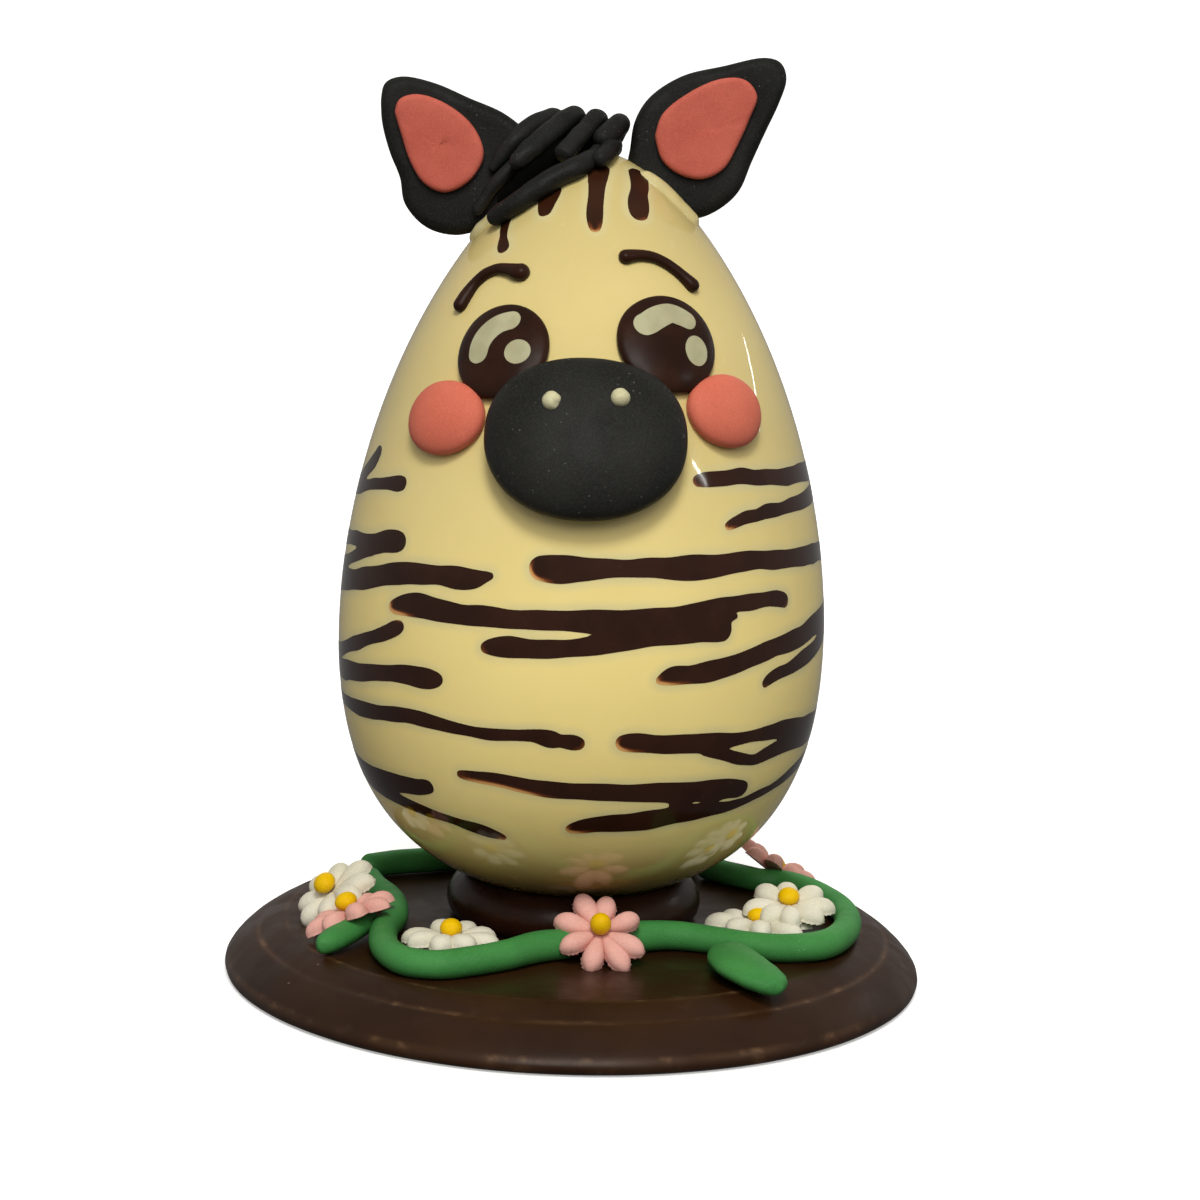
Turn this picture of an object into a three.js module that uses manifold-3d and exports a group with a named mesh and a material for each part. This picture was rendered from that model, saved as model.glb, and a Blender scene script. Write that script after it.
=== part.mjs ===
// A chocolate egg decorated as a zebra, on its own foot ring and stepped chocolate base.
// Millimetres, +Z up. The origin is the centre of the base's underside; the face looks to -Y.
import * as THREE from 'three';
import { mergeVertices } from 'three/addons/utils/BufferGeometryUtils.js';
import Module from 'manifold-3d';

const wasm = await Module();
wasm.setup();

// ---- driving dimensions -------------------------------------------------------------------
const GAP = 0.3;               // room between pieces that touch
const SEAT = 0.4;              // room under a pad whose flats span the curved shell

const EGG_HEIGHT = 200;
const EGG_BOTTOM = 21.3;       // lower pole above the base's underside
const EGG_FULLNESS = 63.06;    // radius at mid height
const EGG_SIDES = 36;
const EGG_BANDS = 16;

const BASE_RADIUS = 95;
const BASE_SHOULDER = 86;
const PLATEAU_RADIUS = 79;
const PLATEAU_HEIGHT = 14;
const FOOT_RADIUS = 34.9;
const FOOT_TOP = 26.4;

const STRIPE_DEPTH = 1.8;      // ridge of a stripe under the shell's surface
const STRIPE_STEP = 15;
const EAR_THICKNESS = 7.4;
const MUZZLE_THICKNESS = 12.4;
const VINE_RADIUS = 3.6;
const PETAL_REACH = 13;
const PETALS = 8;

// ---- vectors and angles -------------------------------------------------------------------
const { degToRad, radToDeg, lerp } = THREE.MathUtils;
const UP = new THREE.Vector3(0, 0, 1);
const point = (x, y, z) => new THREE.Vector3(x, y, z);

// ---- materials ----------------------------------------------------------------------------
const finish = (color, roughness) => new THREE.MeshStandardMaterial({ color, roughness, metalness: 0 });
const whiteChocolate = finish(0xe6d190, 0.2);
const darkChocolate = finish(0x35231c, 0.3);
const baseChocolate = finish(0x3a2416, 0.45);
const blackPaste = finish(0x2b2b29, 0.8);
const pinkPaste = finish(0xc4685a, 0.75);
const greenPaste = finish(0x3f8642, 0.7);
const whitePaste = finish(0xece6cd, 0.8);
const rosePaste = finish(0xe0a596, 0.8);
const yellowPaste = finish(0xf0bf05, 0.6);

// ---- closed bodies ------------------------------------------------------------------------
// A body through rings of equal count, shut by a fan to a point at each end. Each ring runs
// counter-clockwise about the way from start to end.
function loft(start, rings, end) {
  const count = rings[0].length;
  const points = [start, ...rings.flat(), end];
  const faces = [];
  const last = 1 + (rings.length - 1) * count;
  for (let j = 0; j < count; j++) {
    const next = (j + 1) % count;
    faces.push(0, 1 + next, 1 + j);
    for (let low = 1; low < last; low += count) {
      const high = low + count;
      faces.push(low + j, low + next, high + next);
      faces.push(low + j, high + next, high + j);
    }
    faces.push(last + j, last + next, points.length - 1);
  }
  const geometry = new THREE.BufferGeometry().setFromPoints(points);
  geometry.setIndex(faces);
  return geometry;
}

// A body turned about the Z axis from [radius, height] points that run from bottom to top.
function turned(profile, sides) {
  const outline = profile.map(([radius, height]) => new THREE.Vector2(radius, height));
  return new THREE.LatheGeometry(outline, sides).rotateX(Math.PI / 2);
}

function toSolid(geometry) {
  const bare = new THREE.BufferGeometry();
  bare.setAttribute('position', geometry.getAttribute('position'));
  bare.setIndex(geometry.index);
  const merged = mergeVertices(bare, 1e-4);
  const corners = merged.index.array;
  const triangles = [];
  for (let i = 0; i < corners.length; i += 3) {
    const [a, b, c] = corners.slice(i, i + 3);
    if (a !== b && b !== c && c !== a) {
      triangles.push(a, b, c);
    }
  }
  const vertProperties = Float32Array.from(merged.getAttribute('position').array);
  const triVerts = Uint32Array.from(triangles);
  return new wasm.Manifold(new wasm.Mesh({ numProp: 3, vertProperties, triVerts }));
}

function toGeometry(solid) {
  const { vertProperties, triVerts } = solid.getMesh();
  const geometry = new THREE.BufferGeometry();
  geometry.setAttribute('position', new THREE.BufferAttribute(vertProperties, 3));
  geometry.setIndex(new THREE.BufferAttribute(triVerts, 1));
  return geometry;
}

// The largest single body left of a solid after its cuts, cleared of hair-thin faces.
function cutBy(solid, cutters) {
  const left = cutters.reduce((body, cutter) => body.subtract(cutter), solid);
  const bodies = left.simplify(0.05).decompose();
  return bodies.reduce((best, body) => (body.volume() > best.volume() ? body : best));
}

// ---- the shell's surface ------------------------------------------------------------------
// Places on the shell are given as azimuth in degrees, 0 at the middle of the face and
// growing towards +X, and height in millimetres above the lower pole.
function eggRadius(height) {
  const c = 2 * height / EGG_HEIGHT - 1;
  const shape = 1 - 0.2631 * c + 0.0825 * c ** 2 - 0.1352 * c ** 3;
  return EGG_FULLNESS * Math.sqrt(Math.max(0, 1 - c * c)) * shape;
}

function shellFrame(azimuth, height) {
  const turn = degToRad(azimuth);
  const slope = eggRadius(height + 0.5) - eggRadius(height - 0.5);
  const radius = eggRadius(height);
  const spot = point(radius * Math.sin(turn), -radius * Math.cos(turn), EGG_BOTTOM + height);
  const normal = point(Math.sin(turn), -Math.cos(turn), -slope).normalize();
  return { spot, normal };
}

function onShell(azimuth, height, lift = 0) {
  const { spot, normal } = shellFrame(azimuth, height);
  return spot.addScaledVector(normal, lift);
}

// The place reached by going right and up over the shell from a spot, then off it by lift.
function overShell([azimuth, height], right, up, lift) {
  const lean = Math.atan(eggRadius(height - 0.5) - eggRadius(height + 0.5));
  const level = height + up * Math.cos(lean);
  return onShell(azimuth + radToDeg(right / (eggRadius(level) + lift)), level, lift);
}

function eggBody(grow = 0) {
  const profile = [];
  for (let i = 0; i <= EGG_BANDS; i++) {
    const turn = Math.PI * i / EGG_BANDS;
    const height = EGG_HEIGHT * (1 - Math.cos(turn)) / 2;
    const level = EGG_BOTTOM + height - grow * Math.cos(turn);
    const radius = i % EGG_BANDS === 0 ? 0 : eggRadius(height) + grow * Math.sin(turn);
    profile.push([radius, level]);
  }
  return toSolid(turned(profile, EGG_SIDES));
}

// ---- rolled and piped forms ---------------------------------------------------------------
// Distances from the start where a stroke gets a section: close together in its round ends.
function stations(length, endRadius, step) {
  const straight = length - 2 * endRadius;
  const steps = Math.max(1, Math.round(straight / step));
  const middle = Array.from({ length: steps + 1 }, (_, i) => endRadius + straight * i / steps);
  return [0.25 * endRadius, ...middle, length - 0.25 * endRadius];
}

function roundness(distance, endRadius) {
  const inside = Math.min(1, distance / endRadius);
  return Math.sqrt(inside * (2 - inside));
}

// A roll of paste through [x, y, z, radius] points, with round ends.
function roll(path, sides, step, grow = 0) {
  const centres = path.map(([x, y, z]) => point(x, y, z));
  const curve = new THREE.CatmullRomCurve3(centres, false, 'centripetal');
  const length = curve.getLength();
  const thickness = (u) => {
    const place = curve.getUtoTmapping(u) * (path.length - 1);
    const i = Math.min(path.length - 2, Math.floor(place));
    return lerp(path[i][3], path[i + 1][3], place - i);
  };
  const endRadius = Math.min(path[0][3], path.at(-1)[3]);
  const ring = (distance) => {
    const u = distance / length;
    const full = roundness(distance, endRadius) * roundness(length - distance, endRadius);
    const radius = thickness(u) * full + grow;
    const side = curve.getTangentAt(u).cross(UP).normalize();
    const top = side.clone().cross(curve.getTangentAt(u));
    return Array.from({ length: sides }, (_, j) => {
      const turn = 2 * Math.PI * j / sides;
      return curve.getPointAt(u)
        .addScaledVector(side, radius * Math.cos(turn))
        .addScaledVector(top, -radius * Math.sin(turn));
    });
  };
  const start = curve.getPointAt(0).addScaledVector(curve.getTangentAt(0), -grow);
  const end = curve.getPointAt(1).addScaledVector(curve.getTangentAt(1), grow);
  return loft(start, stations(length, endRadius, step).map(ring), end);
}

// A stroke along the shell through [azimuth, height, width] points. The section turns each
// place on it, with its half width and how full its round end is there, into a ring.
function stroke(path, step, section, tipLift, overrun = 0) {
  const places = path.map(([azimuth, height, width]) => point(azimuth, height, width));
  const curve = new THREE.CatmullRomCurve3(places, false, 'centripetal');
  const length = curve.getLength();
  const endRadius = Math.min(path[0][2], path.at(-1)[2]) / 2;
  const heading = (u) => {
    const place = curve.getPointAt(u);
    const ahead = place.clone().addScaledVector(curve.getTangentAt(u), 0.1);
    return onShell(ahead.x, ahead.y).sub(onShell(place.x, place.y)).normalize();
  };
  const ring = (distance) => {
    const u = distance / length;
    const { x: azimuth, y: height, z: width } = curve.getPointAt(u);
    const { spot, normal } = shellFrame(azimuth, height);
    const side = heading(u).cross(normal);
    const full = roundness(distance, endRadius) * roundness(length - distance, endRadius);
    return section(spot, side, normal, full * width / 2);
  };
  const tip = (u, way) => {
    const { x: azimuth, y: height } = curve.getPointAt(u);
    return onShell(azimuth, height, tipLift).addScaledVector(heading(u), way * overrun);
  };
  return loft(tip(0, -1), stations(length, endRadius, step).map(ring), tip(1, 1));
}

// The sections that strokes use: each lists its corners across and off the shell.
const corners = (spot, side, normal, places) => places.map(([across, lift]) =>
  spot.clone().addScaledVector(side, across).addScaledVector(normal, lift));

function inlaySection(spot, side, normal, half) {
  const depth = Math.min(STRIPE_DEPTH, half);
  return corners(spot, side, normal, [[0, -depth], [-half, 0], [half, 0]]);
}

function grooveSection(spot, side, normal, half) {
  const depth = Math.min(STRIPE_DEPTH, half);
  const wall = Math.hypot(half, depth);
  const low = depth + GAP * wall / half;
  const wide = (half + GAP * wall / depth) * (1 + 1 / low);
  return corners(spot, side, normal, [[0, -low], [-wide, 1], [wide, 1]]);
}

function pipedSection(spot, side, normal, half) {
  const places = [[0, GAP], [-half, 0.7], [-0.8 * half, 1.5], [0, 1.9], [0.8 * half, 1.5], [half, 0.7]];
  return corners(spot, side, normal, places);
}

// A pad of paste or chocolate on the shell: an oval outline at each [scale, lift] layer.
function pad({ at, width, tall, spin = 0, layers, sides, boxy = 2 }, grow = 0) {
  const tilt = degToRad(spin);
  const round = (value) => Math.sign(value) * Math.abs(value) ** (2 / boxy);
  const rings = layers.map(([scale, lift], i) => Array.from({ length: sides }, (_, j) => {
    const turn = 2 * Math.PI * j / sides;
    const across = (scale * width / 2 + grow) * round(Math.cos(turn));
    const along = (scale * tall / 2 + grow) * round(Math.sin(turn));
    const right = across * Math.cos(tilt) - along * Math.sin(tilt);
    const up = across * Math.sin(tilt) + along * Math.cos(tilt);
    return overShell(at, right, up, lift + (i < layers.length / 2 ? -grow : grow));
  }));
  const lowest = layers[0][1] - grow;
  const highest = layers.at(-1)[1] + 0.3 + grow;
  return loft(onShell(...at, lowest), rings, onShell(...at, highest));
}

// ---- base and foot ------------------------------------------------------------------------
function baseDisc() {
  return turned([
    [0, 0], [BASE_RADIUS - 1.5, 0], [BASE_RADIUS, 1.6], [BASE_RADIUS - 0.6, 3.6],
    [BASE_SHOULDER + 3, 8.6], [BASE_SHOULDER, 10.5],
    [PLATEAU_RADIUS + 1, PLATEAU_HEIGHT - 0.4], [PLATEAU_RADIUS - 1, PLATEAU_HEIGHT], [0, PLATEAU_HEIGHT],
  ], 36);
}

function footRing() {
  const seatHeights = [4.6, 1.9, 0];
  const seat = seatHeights.map((height) => [eggRadius(height), EGG_BOTTOM + height - SEAT]);
  return turned([
    [0, PLATEAU_HEIGHT + GAP], [FOOT_RADIUS - 2.9, PLATEAU_HEIGHT + GAP],
    [FOOT_RADIUS - 0.4, PLATEAU_HEIGHT + 2.2], [FOOT_RADIUS - 0.4, FOOT_TOP - 5.6],
    [FOOT_RADIUS - 3.8, FOOT_TOP - 0.3], [eggRadius(4.6) + 1.6, FOOT_TOP],
    ...seat,
  ], 30);
}

// ---- stripes: dark chocolate let flush into the shell -------------------------------------
// Strokes of [azimuth, height, width]; each wide band runs right round the back.
const STRIPES = {
  stripe_shoulder: [
    [[26.8, 117.6, 3], [31, 118.8, 3.9], [43, 119.1, 4.3], [60, 118, 4.4], [80, 118.2, 5.2],
      [112, 116.5, 5.6], [150, 114.5, 6.2], [190, 113, 5.6], [228, 112.5, 6], [262, 110.5, 5],
      [284, 111, 3.8], [300, 112.8, 3.3], [309.8, 114.2, 3.8]],
    [[34.6, 106.9, 2.4], [41, 109, 3.4], [50, 110, 3.8], [62, 111, 3.6], [80, 112, 4.6], [104, 116, 4]],
    [[289.4, 121, 2.4], [288, 117.2, 3.5], [283, 114.2, 3.8], [268, 110.8, 4]],
  ],
  stripe_chest: [
    [[-11.4, 96.8, 4.6], [-5, 96.7, 6.8], [6, 97.2, 4.8], [18, 97.5, 5.2], [27, 97.4, 6.2], [36, 98, 5.5],
      [45, 98.3, 4.8], [56, 97.7, 4.8], [78, 97.1, 5.4], [110, 94, 6], [150, 95.5, 5.4], [190, 92.5, 6.4],
      [228, 90, 6], [262, 84.6, 6], [285, 86.4, 6], [300, 88.9, 6], [314, 92, 5.9], [325, 93.2, 5],
      [333, 92.8, 5.2], [339.6, 94.2, 3]],
    [[313.8, 100.2, 4.4], [307, 99.4, 5.6], [300, 97.9, 5], [292, 97.6, 3.6], [276, 96.2, 4.2],
      [252, 94.4, 4.6], [226, 91, 4]],
    [[301, 96.4, 3.6], [294, 94.2, 3.4], [282, 91, 3.4], [266, 86.5, 4]],
  ],
  stripe_belly: [
    [[-47.8, 83.4, 3.6], [-39, 84.8, 6], [-27, 83.9, 5], [-14, 84.1, 5], [4, 84.6, 5.6], [20, 85.4, 5.6],
      [30, 87.2, 4.6], [40, 87.9, 4.2], [53.4, 87.7, 4.2]],
    [[-21.6, 76.2, 3.4], [-15.6, 77, 5.4], [-5, 76.9, 4.6], [5, 77.6, 4.6], [15, 80.6, 5.2],
      [27, 81.8, 5.8], [34.6, 81.8, 5.4]],
  ],
  stripe_waist: [
    [[16.8, 69.6, 2.6], [20.5, 70.6, 4.9], [29, 71.5, 5.2], [37, 72.9, 4.8], [46, 75, 5], [59, 77, 5.2],
      [78, 80, 5.6], [112, 77, 6.2], [150, 74.5, 5.6], [190, 72.5, 6.4], [228, 68.5, 6], [262, 63.5, 5.8],
      [285, 62.5, 5.8], [299, 64.1, 5], [313, 66.4, 4.3], [322, 66.8, 5.4], [328.4, 67.4, 3]],
    [[45, 66.5, 2.6], [51.5, 68.6, 3.4], [61, 71, 4.4], [74, 75, 4.6], [88, 79.4, 4]],
    [[316.2, 79, 3.2], [310.5, 76.2, 3.6], [298.5, 71.9, 3.8], [285, 67.5, 3.8], [264, 64.2, 4]],
  ],
  stripe_hip: [
    [[8.8, 54, 3.8], [13, 54, 5], [22, 53.4, 5], [31, 53.2, 5], [42, 53.4, 3.4], [55, 54, 4.6],
      [76, 52.6, 5], [112, 51.5, 6], [150, 54.5, 5.4], [190, 55.4, 6.2], [228, 56, 5.2], [262, 54.4, 4.6],
      [287, 54.2, 3.6], [303, 54.8, 4.2], [320, 56.4, 3.8], [332, 55.1, 3.2], [340, 54.7, 3],
      [348, 55.2, 3], [354, 54.5, 4.2], [361, 53.4, 2.8]],
    [[29, 51.8, 3.6], [37, 48.7, 3.4], [45, 46.9, 3.2], [53, 48.4, 4.4], [64, 48.8, 4.4], [84, 50, 4.4]],
  ],
  stripe_foot: [
    [[-28.8, 43, 2.4], [-20, 42.9, 3.6], [-8, 41.3, 4.6], [3, 41, 4.9], [14, 40.8, 5], [25, 40.3, 5.6],
      [35, 39.9, 5.8], [44.4, 38.7, 4.4]],
    [[-2, 30.3, 3], [5, 31.8, 4.8], [16, 32.7, 6], [26, 34.2, 5.6], [35, 34.6, 4.6], [44, 35.1, 3],
      [51, 36.4, 2.6], [58, 37.6, 2.8], [68, 40.2, 3.6], [88, 41.8, 5], [122, 39.4, 6], [160, 37.2, 5.4],
      [200, 36.4, 6.2], [236, 38, 5.4], [266, 37, 6], [292, 36.2, 5.6], [306, 36.6, 5.4], [315, 37, 4.8],
      [322.2, 38.2, 3.4]],
    [[341.6, 26.4, 2], [336, 27.9, 4], [327, 29.4, 2.8], [318, 30.5, 3.2], [307, 31.9, 4.2],
      [292, 33.4, 4.6], [274, 36, 4.6]],
    [[20, 36.9, 3], [26, 37, 4], [33, 37, 3]],
  ],
  drip_1: [[[-57, 184.5, 2.6], [-50, 179, 3.2], [-44, 175.2, 2.8], [-39.6, 172.4, 2.4]]],
  drip_2: [[[-31, 190.5, 4.6], [-29, 187, 5.4], [-27, 184, 4], [-26, 181.8, 2.6]]],
  drip_3: [[[0, 196, 3.6], [0, 190, 4.3], [0.5, 184, 4.2], [0.8, 179, 2.6]]],
  drip_4: [[[46, 194.6, 2.4], [36, 190.4, 4.4], [31, 186.6, 4.4], [27.6, 183.4, 2.6]]],
};

function stripeBody(strokes) {
  const bodies = strokes.map((path) => toSolid(stroke(path, STRIPE_STEP, inlaySection, 0)));
  return wasm.Manifold.union(bodies).simplify(0.02);
}

function grooveBody(strokes) {
  return wasm.Manifold.union(strokes.map((path) =>
    toSolid(stroke(path, STRIPE_STEP, grooveSection, GAP, 3 * GAP))));
}

// ---- face ---------------------------------------------------------------------------------
const EYE_LAYERS = [[0.92, SEAT], [1, 1.6], [0.93, 2.8], [0.55, 3.5]];
const EYES = {
  left: {
    pad: { at: [-26.3, 147.8], width: 25.3, tall: 25.2, layers: EYE_LAYERS, sides: 16 },
    gleam: [[-20.9, 155.1, 4.8], [-24, 154.7, 5.2], [-27.7, 153.6, 5.5], [-30.7, 151.3, 5.9], [-31.8, 144, 5.4]],
    spark: [-20, 147.3, 6.4],
  },
  right: {
    pad: { at: [23.9, 150.8], width: 27, tall: 25.9, layers: EYE_LAYERS, sides: 16 },
    gleam: [[13.1, 154, 5.2], [16.7, 154.9, 5.8], [20.4, 156.4, 5.9], [24.7, 157.5, 5.3], [32.8, 154.8, 4.4]],
    spark: [31.2, 148.6, 7],
  },
};
const MUZZLE = {
  at: [-0.3, 126.8], width: 51.7, tall: 39.3, boxy: 2.15, sides: 20,
  layers: [[0.45, SEAT], [0.8, SEAT], [1, 3.6], [0.97, 7.4], [0.82, 10], [0.5, MUZZLE_THICKNESS - 0.7]],
};
const CHEEK_LAYERS = [[0.86, SEAT], [1, 2.2], [0.9, 4.1], [0.52, 5.1]];
const CHEEKS = {
  left: { at: [-39.1, 130.9], width: 24.2, tall: 19, layers: CHEEK_LAYERS, sides: 16 },
  right: { at: [38.6, 134.6], width: 23.2, tall: 18.8, layers: CHEEK_LAYERS, sides: 16 },
};
const BROWS = {
  left: [[-49.8, 157.3, 3.6], [-48.6, 161.5, 3.3], [-47, 164.4, 2.7], [-43.6, 166.9, 2.7], [-38.8, 168.2, 2.8],
    [-32.7, 168.1, 3.3], [-28.3, 167.6, 4.2], [-24.1, 167.8, 3.9]],
  right: [[10.8, 171.9, 4], [18.4, 172.7, 2.9], [24.2, 172.5, 2.6], [29, 171.5, 2.6], [33.4, 169.7, 2.6],
    [37.2, 167.5, 2.9], [41.2, 164.4, 3.9]],
};
const NOSTRILS = { left: [-7.8, 134], right: [6.9, 135.1] };
const NOSTRIL_RADIUS = 2.4;
const NOSTRIL_LIFT = 11.4;

// A prism standing on the shell over a gleam's stroke, from one lift to another.
function gleamPrism(path, low, high, grow = 0) {
  const section = (spot, side, normal, half) => {
    const wide = half + grow;
    return corners(spot, side, normal, [[wide, low], [-wide, low], [-wide, high], [wide, high]]);
  };
  return toSolid(stroke(path, 5.5, section, (low + high) / 2, grow));
}

function sparkPrism([azimuth, height, size], low, high, grow = 0) {
  const layers = [[1, low], [1, high]];
  return toSolid(pad({ at: [azimuth, height], width: size, tall: size, layers, sides: 8 }, grow));
}

function nostrilBall([azimuth, height], grow = 0) {
  const ball = new THREE.IcosahedronGeometry(NOSTRIL_RADIUS + grow, 1);
  ball.translate(...onShell(azimuth, height, NOSTRIL_LIFT));
  ball.setIndex(Array.from({ length: ball.getAttribute('position').count }, (_, i) => i));
  return toSolid(ball);
}

// ---- ears ---------------------------------------------------------------------------------
// Outlines are [x, z] points in the plane of the ears, anticlockwise seen from the front.
const EARS = {
  left: {
    outline: [[-57, 233], [-56.5, 227], [-54.3, 219.3], [-51.5, 212.8], [-50.2, 206.2], [-44.5, 200.2],
      [-37, 198.3], [-31, 199.6], [-20, 206], [-14.5, 215], [-17.5, 224.6], [-24, 230.2], [-33.8, 234.2],
      [-43, 237.8], [-51.8, 239.2], [-56, 237.4]],
    centre: [-38, 219],
    inner: [[-53, 229.7], [-51.2, 224.2], [-48.7, 217.2], [-45, 211.6], [-39.5, 209.3], [-33, 212.3],
      [-29.3, 219], [-31.8, 226], [-38.5, 231.7], [-47, 234.5], [-51.8, 233]],
    innerCentre: [-41, 221.5],
    glue: [[-26.2, -4.6, 203.6, 1.4], [-29.6, -4.2, 200.9, 2.3], [-31.4, -3.4, 198.4, 1.6]],
  },
  right: {
    outline: [[9, 222], [8.6, 217.5], [14, 210.5], [22, 205.2], [27.5, 204.6], [33.4, 207.3], [38.2, 212],
      [41.2, 219.5], [44.6, 227.6], [47.8, 235], [49.6, 241.6], [48, 245.6], [44, 246.8], [32.8, 244.3],
      [22, 241.4], [13.6, 235.6], [10, 229.3]],
    centre: [29, 225],
    inner: [[15.3, 225.4], [17.4, 219.4], [22, 215.8], [28, 214.7], [33.6, 217.4], [37.2, 223.8],
      [40, 230.6], [41.8, 236.6], [38.6, 240.6], [32.5, 240.8], [24, 237], [17, 231]],
    innerCentre: [28.5, 227],
    glue: [[11.5, -6, 216.3, 1.2], [17, -6.2, 212.4, 2], [22, -6, 208, 2], [26.6, -5, 203.8, 1.3]],
  },
};
const EAR_LAYERS = [[0.86, 0.5], [1, 0.22], [1, -0.22], [0.86, -0.5]];
const INNER_EAR_LAYERS = [[0.9, 0.54], [1, 0.66], [0.9, 0.83]];

// A slab between the outline's copies, each scaled about the centre and set back to a depth.
function slab(outline, [centreX, centreZ], layers, count, grow = 0) {
  const edge = new THREE.CatmullRomCurve3(outline.map(([x, z]) => point(x, 0, z)), true, 'centripetal');
  const places = edge.getSpacedPoints(count).slice(0, count);
  const middle = point(centreX, 0, centreZ);
  const rings = layers.map(([scale, depth]) => places.map((place) => {
    const arm = place.clone().sub(middle);
    const reach = arm.length() * scale + grow;
    return middle.clone().addScaledVector(arm.normalize(), reach).setY(depth);
  }));
  return loft(middle.clone().setY(layers[0][1]), rings, middle.clone().setY(layers.at(-1)[1]));
}

function earSlab({ outline, centre }, grow = 0) {
  const layers = EAR_LAYERS.map(([scale, depth]) =>
    [scale, depth * EAR_THICKNESS + Math.sign(depth) * grow]);
  return toSolid(slab(outline, centre, layers, 22, grow));
}

function innerEar({ inner, innerCentre }) {
  const layers = INNER_EAR_LAYERS.map(([scale, depth]) => [scale, -depth * EAR_THICKNESS]);
  return slab(inner, innerCentre, layers, 15);
}

// ---- mane: tapered rolls swept over the crown ---------------------------------------------
// [x, y, z, radius] points from the back of the crown to the tip on the forehead.
const MANE = {
  mane_long: [[2.4, 15, 218.6, 2.4], [1.6, 10, 226, 2.7], [-2, 5, 230.6, 2.7], [-6.1, 0.5, 230.4, 2.6],
    [-10.2, -4.5, 227.1, 2.7], [-14.6, -8.5, 223.1, 2.7], [-18, -10.8, 220, 2.6], [-21.8, -12.7, 216.3, 2]],
  mane_blunt: [[9, 15, 217.6, 2.2], [7.8, 10, 225, 2.4], [4, 5, 229.8, 2.4], [0.2, 0, 229.9, 2.4],
    [-2.8, -5, 226.4, 2.5], [-5.8, -9.5, 222.9, 2.5], [-8.8, -13.6, 219, 2.3]],
  mane_short: [[13.4, 12.4, 217, 2.2], [11.6, 8.4, 224.4, 2.3], [8.8, 4, 229.2, 2.3], [6, 0.4, 229.5, 2.3],
    [3.6, -4.6, 226.6, 2.4], [0.7, -9.2, 223.3, 2.1]],
  mane_forehead: [[2.6, 2, 223.8, 2], [2.4, -5, 223.4, 2.2], [1, -11.4, 221.2, 2.2], [-2, -15.8, 218.1, 2.2],
    [-5.2, -17.7, 216, 2.3], [-9.6, -18.8, 213.6, 2.4], [-14, -19.8, 210.6, 2.3], [-18.7, -19.9, 207.3, 2.3],
    [-23.2, -18.6, 204.4, 2.2], [-27, -16.8, 201.9, 1.9]],
  mane_crown: [[7.4, 7, 222.6, 1.8], [7.2, 2.6, 223.4, 1.9], [5.9, -3, 223.2, 1.9], [3.4, -11.4, 220.2, 1.9],
    [-0.3, -16, 217.4, 1.8]],
  mane_ear: [[-6.6, 14.6, 218, 2.2], [-7.4, 9.6, 226.4, 2.4], [-9.7, 5, 230.6, 2.4], [-13.6, 0.5, 229.2, 2.6],
    [-17.7, -3.4, 226.5, 2.6], [-21.2, -6, 223.2, 2.3], [-24.4, -6.2, 219.4, 1.9], [-27.4, -5.4, 215, 1.2]],
  mane_curl: [[-6, 5, 225.4, 2], [-8.2, -2, 224.9, 2.2], [-14.6, -6, 220.7, 2.2], [-19.7, -7.6, 216.9, 2.1],
    [-24.2, -7, 213.9, 1.9], [-27.2, -6.6, 210.3, 1.8], [-29.4, -6.4, 206.6, 1.7], [-31, -6.4, 204.2, 1.4]],
  mane_under: [[-1, -2, 224, 2.2], [-3.1, -10.6, 221.4, 2.5], [-11.1, -12.5, 218.3, 2.5],
    [-16.8, -14.2, 214.2, 2.3], [-20.6, -15.4, 210.9, 2], [-24.4, -16.3, 207.2, 1.1]],
};

// ---- vine and leaves ----------------------------------------------------------------------
// [x, y] points of the rolls that lie round the foot on the plateau.
const VINES = {
  vine_front_left: [[-58.5, 18.5], [-55.5, 9], [-49.6, -5], [-47.6, -20.4], [-49.2, -36], [-47.4, -51.4],
    [-41.6, -62], [-33.6, -64.4], [-26.2, -61.3], [-17.1, -55], [-8.7, -47], [0.6, -41.8]],
  vine_right: [[8, -38.6], [17.6, -34.9], [26.8, -32.2], [36.4, -34.3], [46.1, -37.9], [55.2, -38.6],
    [65, -33.6], [72.2, -19], [74.6, -2.8], [72, 11.5], [67, 24.4], [60.8, 32.6], [52.7, 33.6], [45, 38],
    [37, 44.6]],
  vine_back: [[36.2, 45.6], [29, 53], [18, 57.5], [5, 56], [-6, 50.4], [-16, 48.6], [-23.4, 48.2]],
  vine_back_left: [[-24.6, 48], [-33, 45], [-41, 40.8], [-52, 36], [-61, 29]],
};
const VINE_LEVEL = PLATEAU_HEIGHT + GAP + VINE_RADIUS;
const LEAVES = {
  leaf_right: { spine: [[37.2, -42.6, 17.6], [45, -55.5, 18], [52.6, -68, 16.2]], width: 13, thick: 6 },
  leaf_left: { spine: [[-56.4, -23.6, 16.9], [-61, -35, 17], [-65.4, -47, 16.7]], width: 10.5, thick: 5 },
};

function vineRoll(path, grow = 0) {
  const points = path.map(([x, y]) => [x, y, VINE_LEVEL, VINE_RADIUS]);
  return roll(points, 7, 11, grow);
}

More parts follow.
